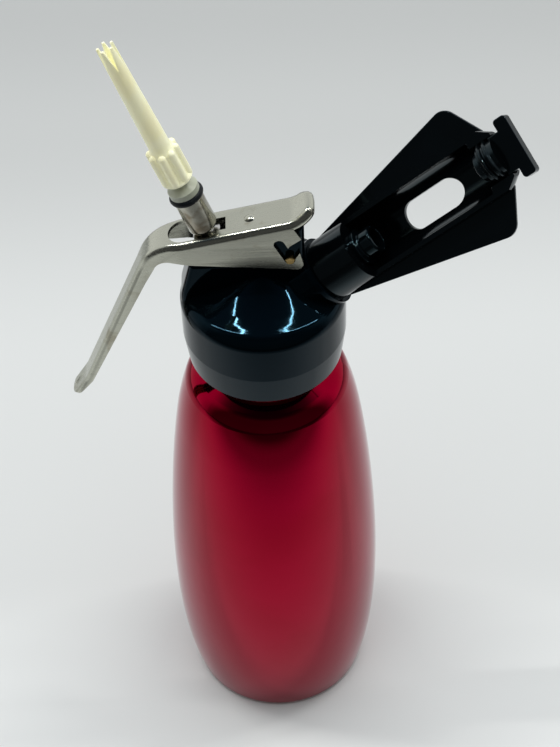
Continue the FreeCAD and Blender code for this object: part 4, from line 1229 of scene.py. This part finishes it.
@dataclass(frozen=True)
class TipSizes:
    """Sizes of the decorating tip along its own axis. A pair is a step in radius and one in height."""

    # The ribbed base: its lip, the blend into its wall, and its shoulder up to the tube's foot.
    start: float = 86.3
    lip_radius: float = 7.0
    lip_height: float = 2.2
    lip_chamfer: Span = (0.8, 0.9)
    lip_round: float = 0.7
    foot_blend: Span = (0.3, 0.4)
    foot_end: float = 1.4
    base_radius: float = 5.8
    base_length: float = 18.6
    shoulder_start: float = 2.6
    shoulder_turn: Span = (0.35, 1.6)
    collar_turn: Span = (0.25, 0.3)
    collar_end: float = 1.2
    # The ribs: their own radius, how far out they reach, and how far they stay below the base's end.
    rib_radius: float = 1.75
    rib_out_radius: float = 7.3
    rib_margin: float = 0.8
    ribs: int = 8
    # The bore for the adapter, the cone that leads into the tube, and the tube from root to end.
    bore_radius: float = 4.7
    throat_depth: float = 5.0
    throat_cone: float = 2.0
    root_radius: float = 4.6
    end_radius: float = 3.75
    length: float = 53.6
    wall: float = 1.1
    edge: float = 0.15
    edge_angle: float = 45.0
    # The crown: its teeth, the share of the turn that is notched, and the ring of points below a notch.
    teeth: int = 5
    tooth_length: float = 10.5
    points_per_tooth: int = 16
    notch_share: float = 0.72
    notch_margin: float = 1.0


class Outlet(SubAssembly):
    """Valve, tube, ring, adapter and decorating tip."""

    sizes = TipSizes()

    def build(self) -> None:
        """Model and dress the pieces."""
        self.replace(self.make_tip(), "decorating_tip", "decorating_tip", "cream")
        self.keep({"valve_stem": "stem", "stem_collar": "stem", "stem_o_ring": "rubber", "valve_gasket": "rubber",
                   "valve_gasket_nut": "brass", "outlet_tube": "tube", "outlet_o_ring": "rubber",
                   "tip_adapter": "ivory"})

    def make_tip(self) -> Piece:
        """Model the piping tip: ribbed base, slender tube and crown of teeth.

        Returns:
            The tip, at its place.
        """
        size = self.sizes
        lip_top = size.start + size.lip_height
        base_end = size.start + size.base_length
        end = base_end + size.length
        throat = base_end - size.throat_depth
        notch_foot = end - size.tooth_length - size.notch_margin
        share = size.tooth_length / size.length
        notch_radius = size.end_radius + (size.root_radius - size.end_radius) * share
        outline = [(size.bore_radius, size.start), (size.lip_radius - size.lip_chamfer[0], size.start),
                   (size.lip_radius, size.start + size.lip_chamfer[1]), (size.lip_radius, lip_top - size.lip_round),
                   (size.base_radius + size.foot_blend[0], lip_top + size.foot_blend[1]),
                   (size.base_radius, lip_top + size.foot_end), (size.base_radius, base_end - size.shoulder_start),
                   (size.base_radius - size.shoulder_turn[0], base_end - size.shoulder_turn[1]),
                   (size.root_radius + size.collar_turn[0], base_end - size.collar_turn[1]),
                   (size.root_radius, base_end + size.collar_end), (notch_radius, notch_foot),
                   (size.end_radius, end), (size.end_radius - size.wall, end),
                   (notch_radius - size.wall, notch_foot), (size.root_radius - size.wall, throat),
                   (size.bore_radius, throat - size.throat_cone), (size.bore_radius, size.start)]
        tip = lathe("piping_tip", outline, size.teeth * size.points_per_tooth)
        self.cut_teeth(tip, end)
        soften(tip, size.edge, size.edge_angle, 2)
        first = put(capsule("rib", size.rib_radius, lip_top, base_end - size.rib_radius - size.rib_margin),
                    Matrix.Translation(((size.rib_out_radius - size.rib_radius) * MM, 0.0, 0.0)))
        ribs = [first] + [put(double(first), Matrix.Rotation(math.tau * index / size.ribs, 4, "Z"))
                          for index in range(1, size.ribs)]
        combine(tip, join(ribs), "UNION")
        smooth(tip)
        return put(tip, stem_frame().matrix)

    def cut_teeth(self, tip: Piece, end: float) -> None:
        """Draw the end ring down between the teeth.

        Args:
            tip: The turned tip.
            end: Height of its end.
        """
        size = self.sizes
        pitch = math.tau / size.teeth
        step = pitch / size.points_per_tooth
        half_notch = size.notch_share * pitch / 2
        for index in range(int(half_notch / step) + 1):
            away = index * step

            def on_ring(spot: Vector, away: float = away) -> bool:
                """True for the end's points at this turn from the middle of a notch."""
                turn = math.atan2(spot.y, spot.x) % pitch
                return spot.z > end - 0.01 and abs(min(turn, pitch - turn) - away) < step / 3

            move_where(tip, on_ring, -size.tooth_length * (1.0 - away / half_notch))


@dataclass(frozen=True)
class HolderSizes:
    """Sizes of the roundings on the charger holder, in its own frame."""

    edge: float = 0.45
    screw_edge: float = 0.2
    # Where the nut starts along the holder, how low the points of its step may lie, and their rounding.
    nut_start: float = 84.8
    nut_floor: float = -20.0
    nut_blend: float = 1.4
    nut_segments: int = 4
    # How near a point has to be to the step to count as on it.
    margin: float = 0.05


class ChargerHolder(SubAssembly):
    """The open cradle with its end screw and pad."""

    sizes = HolderSizes()

    def build(self) -> None:
        """Model and dress the pieces."""
        size, frame = self.sizes, holder_frame()
        cradle = copy_of(self.nodes["charger_holder"], "charger_cradle")

        def on_nut_step(spot: Vector) -> bool:
            """True for points where the open nut steps up from the cradle's channel."""
            place = frame.local(spot)
            return abs(place.z - size.nut_start) < size.margin and place.y > size.nut_floor

        pick(cradle, on_nut_step)
        bevel_selected(size.nut_blend, size.nut_segments)
        soften(cradle, size.edge)
        smooth(cradle)
        self.replace(cradle, "charger_holder", "charger_holder", "holder")
        screw = self.softened("end_screw", "end_plug", size.screw_edge)
        self.replace(screw, "end_screw", "end_screw", "holder")
        self.keep({"charger_rest_pad": "inner"})


# ------------------------------------------------------------------ studio
@dataclass(frozen=True)
class Studio:
    """Floor, surroundings, lamps and camera, in metres and watts.

    Attributes:
        floor_painted_shade: Place along Y and brightness of each stop on the floor's colour, a painted shade that
            darkens it towards the front and the back.
        room: Place from nadir to zenith, from 0 to 1, and colour of each stop of the room.
        front_light: Share of the room's light that is left in the half in front.
        front_span: Where that half fades out, along the unit vector's Y.
        lamps: Name, start and end along X of each strip lamp.
        camera_spot: The camera's place in millimetres.
        camera_down: How far it looks down, in degrees.
        camera_roll: How far it is tilted sideways, in degrees.
        camera_lens: Its focal length on a 36 mm sensor, in millimetres.
    """

    floor_radius: float = 4.0
    floor_height: float = -0.0002
    floor_tint: Colour = (0.985, 1.0, 0.99)
    floor_span: Span = (-0.80, 0.70)
    # Painted shade: the floor's colour darkens towards the front and the back.
    floor_painted_shade: tuple[Span, ...] = ((-0.80, 0.05), (-0.45, 0.30), (-0.14, 0.84), (-0.05, 0.82), (0.05, 0.67),
                                      (0.22, 0.69), (0.45, 0.56), (0.60, 0.51))
    room: tuple[tuple[float, Colour], ...] = (
        (0.0, (0.80, 0.82, 0.82)), (0.5, (0.92, 0.94, 0.94)), (0.84, (0.80, 0.82, 0.83)),
        (0.93, (0.16, 0.22, 0.27)), (1.0, (0.12, 0.18, 0.23)))
    front_light: float = 0.09
    front_span: Span = (-0.35, 0.15)
    lamps: tuple[tuple[str, float, float], ...] = (("left_lamp", -1.20, -0.26), ("right_lamp", 0.19, 1.20))
    lamp_height: float = 2.0
    lamp_run: float = 0.265
    lamp_width: float = 0.018
    lamp_power: float = 10.5
    lamp_colour: Colour = (1.0, 0.99, 0.97)
    soft_size: float = 2.4
    soft_power: float = 30.0
    soft_run: float = -0.25
    soft_height: float = 2.4
    soft_colour: Colour = (0.98, 1.0, 1.0)
    camera_spot: Triple = (6.1, -519.5, 804.6)
    camera_down: float = 48.2516
    camera_roll: float = -2.3099
    camera_lens: float = 80.0

    def build(self) -> None:
        """Set the studio up."""
        self.make_camera()
        self.make_floor()
        self.make_surroundings()
        for name, first, last in self.lamps:
            self.hang(name, (last - first, self.lamp_width), self.lamp_power, self.lamp_colour,
                      ((first + last) / 2, self.lamp_run, self.lamp_height))
        soft_box = self.hang("soft_box", (self.soft_size, self.soft_size), self.soft_power, self.soft_colour,
                             (0.0, self.soft_run, self.soft_height))
        soft_box.visible_glossy = False
        bpy.context.scene.view_settings.view_transform = "Standard"
        LOG.info("studio set")

    def make_camera(self) -> None:
        """Put the camera in front of and above the dispenser."""
        data = bpy.data.cameras.new("camera")
        data.sensor_width, data.lens = 36.0, self.camera_lens
        data.clip_start, data.clip_end = 0.01, 50.0
        camera = bpy.data.objects.new("camera", data)
        bpy.context.scene.collection.objects.link(camera)
        down, roll = math.radians(self.camera_down), math.radians(self.camera_roll)
        turn = Matrix.Rotation(math.pi / 2 - down, 4, "X") @ Matrix.Rotation(roll, 4, "Z")
        camera.matrix_world = Matrix.Translation(Vector(self.camera_spot) * MM) @ turn
        bpy.context.scene.camera = camera

    def make_floor(self) -> None:
        """Lay a wide pale floor, whose colour carries painted shade towards the front and the back."""
        bpy.ops.mesh.primitive_circle_add(vertices=96, radius=self.floor_radius, fill_type="NGON",
                                          location=(0.0, 0.0, self.floor_height))
        floor = bpy.context.view_layer.objects.active
        floor.name = "floor"
        material = bpy.data.materials.new("Pale floor paper")
        material.use_nodes = True
        board = Board(material.node_tree)
        shader = material.node_tree.nodes["Principled BSDF"]
        shader.inputs["Roughness"].default_value = 0.9
        shader.inputs["Specular IOR Level"].default_value = 0.2
        place = board.add("ShaderNodeTexCoord")
        split = board.add("ShaderNodeSeparateXYZ")
        board.link(place.outputs["Object"], split.inputs["Vector"])
        first, last = self.floor_span
        run = board.add("ShaderNodeMapRange", From_Min=first, From_Max=last)
        board.link(split.outputs["Y"], run.inputs["Value"])
        # Painted shade: this ramp darkens the floor's colour along Y.
        ramp = board.ramp([((spot - first) / (last - first), tuple(shade * part for part in self.floor_tint))
                           for spot, shade in self.floor_painted_shade])
        board.link(run.outputs["Result"], ramp.inputs["Fac"])
        board.link(ramp.outputs["Color"], shader.inputs["Base Color"])
        floor.data.materials.append(material)

    def make_surroundings(self) -> None:
        """Make the room: a pale wall behind, a dim ceiling and a dark half in front."""
        world = bpy.data.worlds.new("room")
        bpy.context.scene.world = world
        world.use_nodes = True
        board = Board(world.node_tree)
        place = board.add("ShaderNodeTexCoord")
        unit = board.add("ShaderNodeVectorMath", operation="NORMALIZE")
        board.link(place.outputs["Generated"], unit.inputs[0])
        split = board.add("ShaderNodeSeparateXYZ")
        board.link(unit.outputs["Vector"], split.inputs["Vector"])
        ramp = board.ramp(self.room)
        height = board.add("ShaderNodeMapRange", From_Min=-1.0, From_Max=1.0)
        board.link(split.outputs["Z"], height.inputs["Value"])
        board.link(height.outputs["Result"], ramp.inputs["Fac"])
        behind = board.add("ShaderNodeMapRange", From_Min=self.front_span[0], From_Max=self.front_span[1],
                           To_Min=self.front_light, interpolation_type="SMOOTHSTEP")
        board.link(split.outputs["Y"], behind.inputs["Value"])
        shade = board.add("ShaderNodeVectorMath", operation="SCALE")
        board.link(ramp.outputs["Color"], shade.inputs[0])
        board.link(behind.outputs["Result"], shade.inputs["Scale"])
        board.link(shade.outputs["Vector"], world.node_tree.nodes["Background"].inputs["Color"])

    def hang(self, name: str, size: Span, power: float, colour: Colour, place: Triple) -> Piece:
        """Hang a rectangular lamp that shines down.

        Args:
            name: The lamp's name.
            size: Its length along X and its width along Y.
            power: Its power.
            colour: Its colour.
            place: Where it hangs.

        Returns:
            The lamp.
        """
        data = bpy.data.lights.new(name, "AREA")
        data.shape = "RECTANGLE"
        data.size, data.size_y = size
        data.energy = power
        data.color = colour
        lamp = bpy.data.objects.new(name, data)
        lamp.location = place
        bpy.context.scene.collection.objects.link(lamp)
        return lamp


# ------------------------------------------------------------------ main
def main() -> None:
    """Build the whole scene in order."""
    logging.basicConfig(level=logging.INFO, format="%(name)s: %(message)s")
    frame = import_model()
    Studio().build()
    palette = Palette()
    for kind in (Bottle, Head, Lever, Outlet, ChargerHolder):
        kind(frame["nodes"], palette).build()


if __name__ == "__main__":
    main()
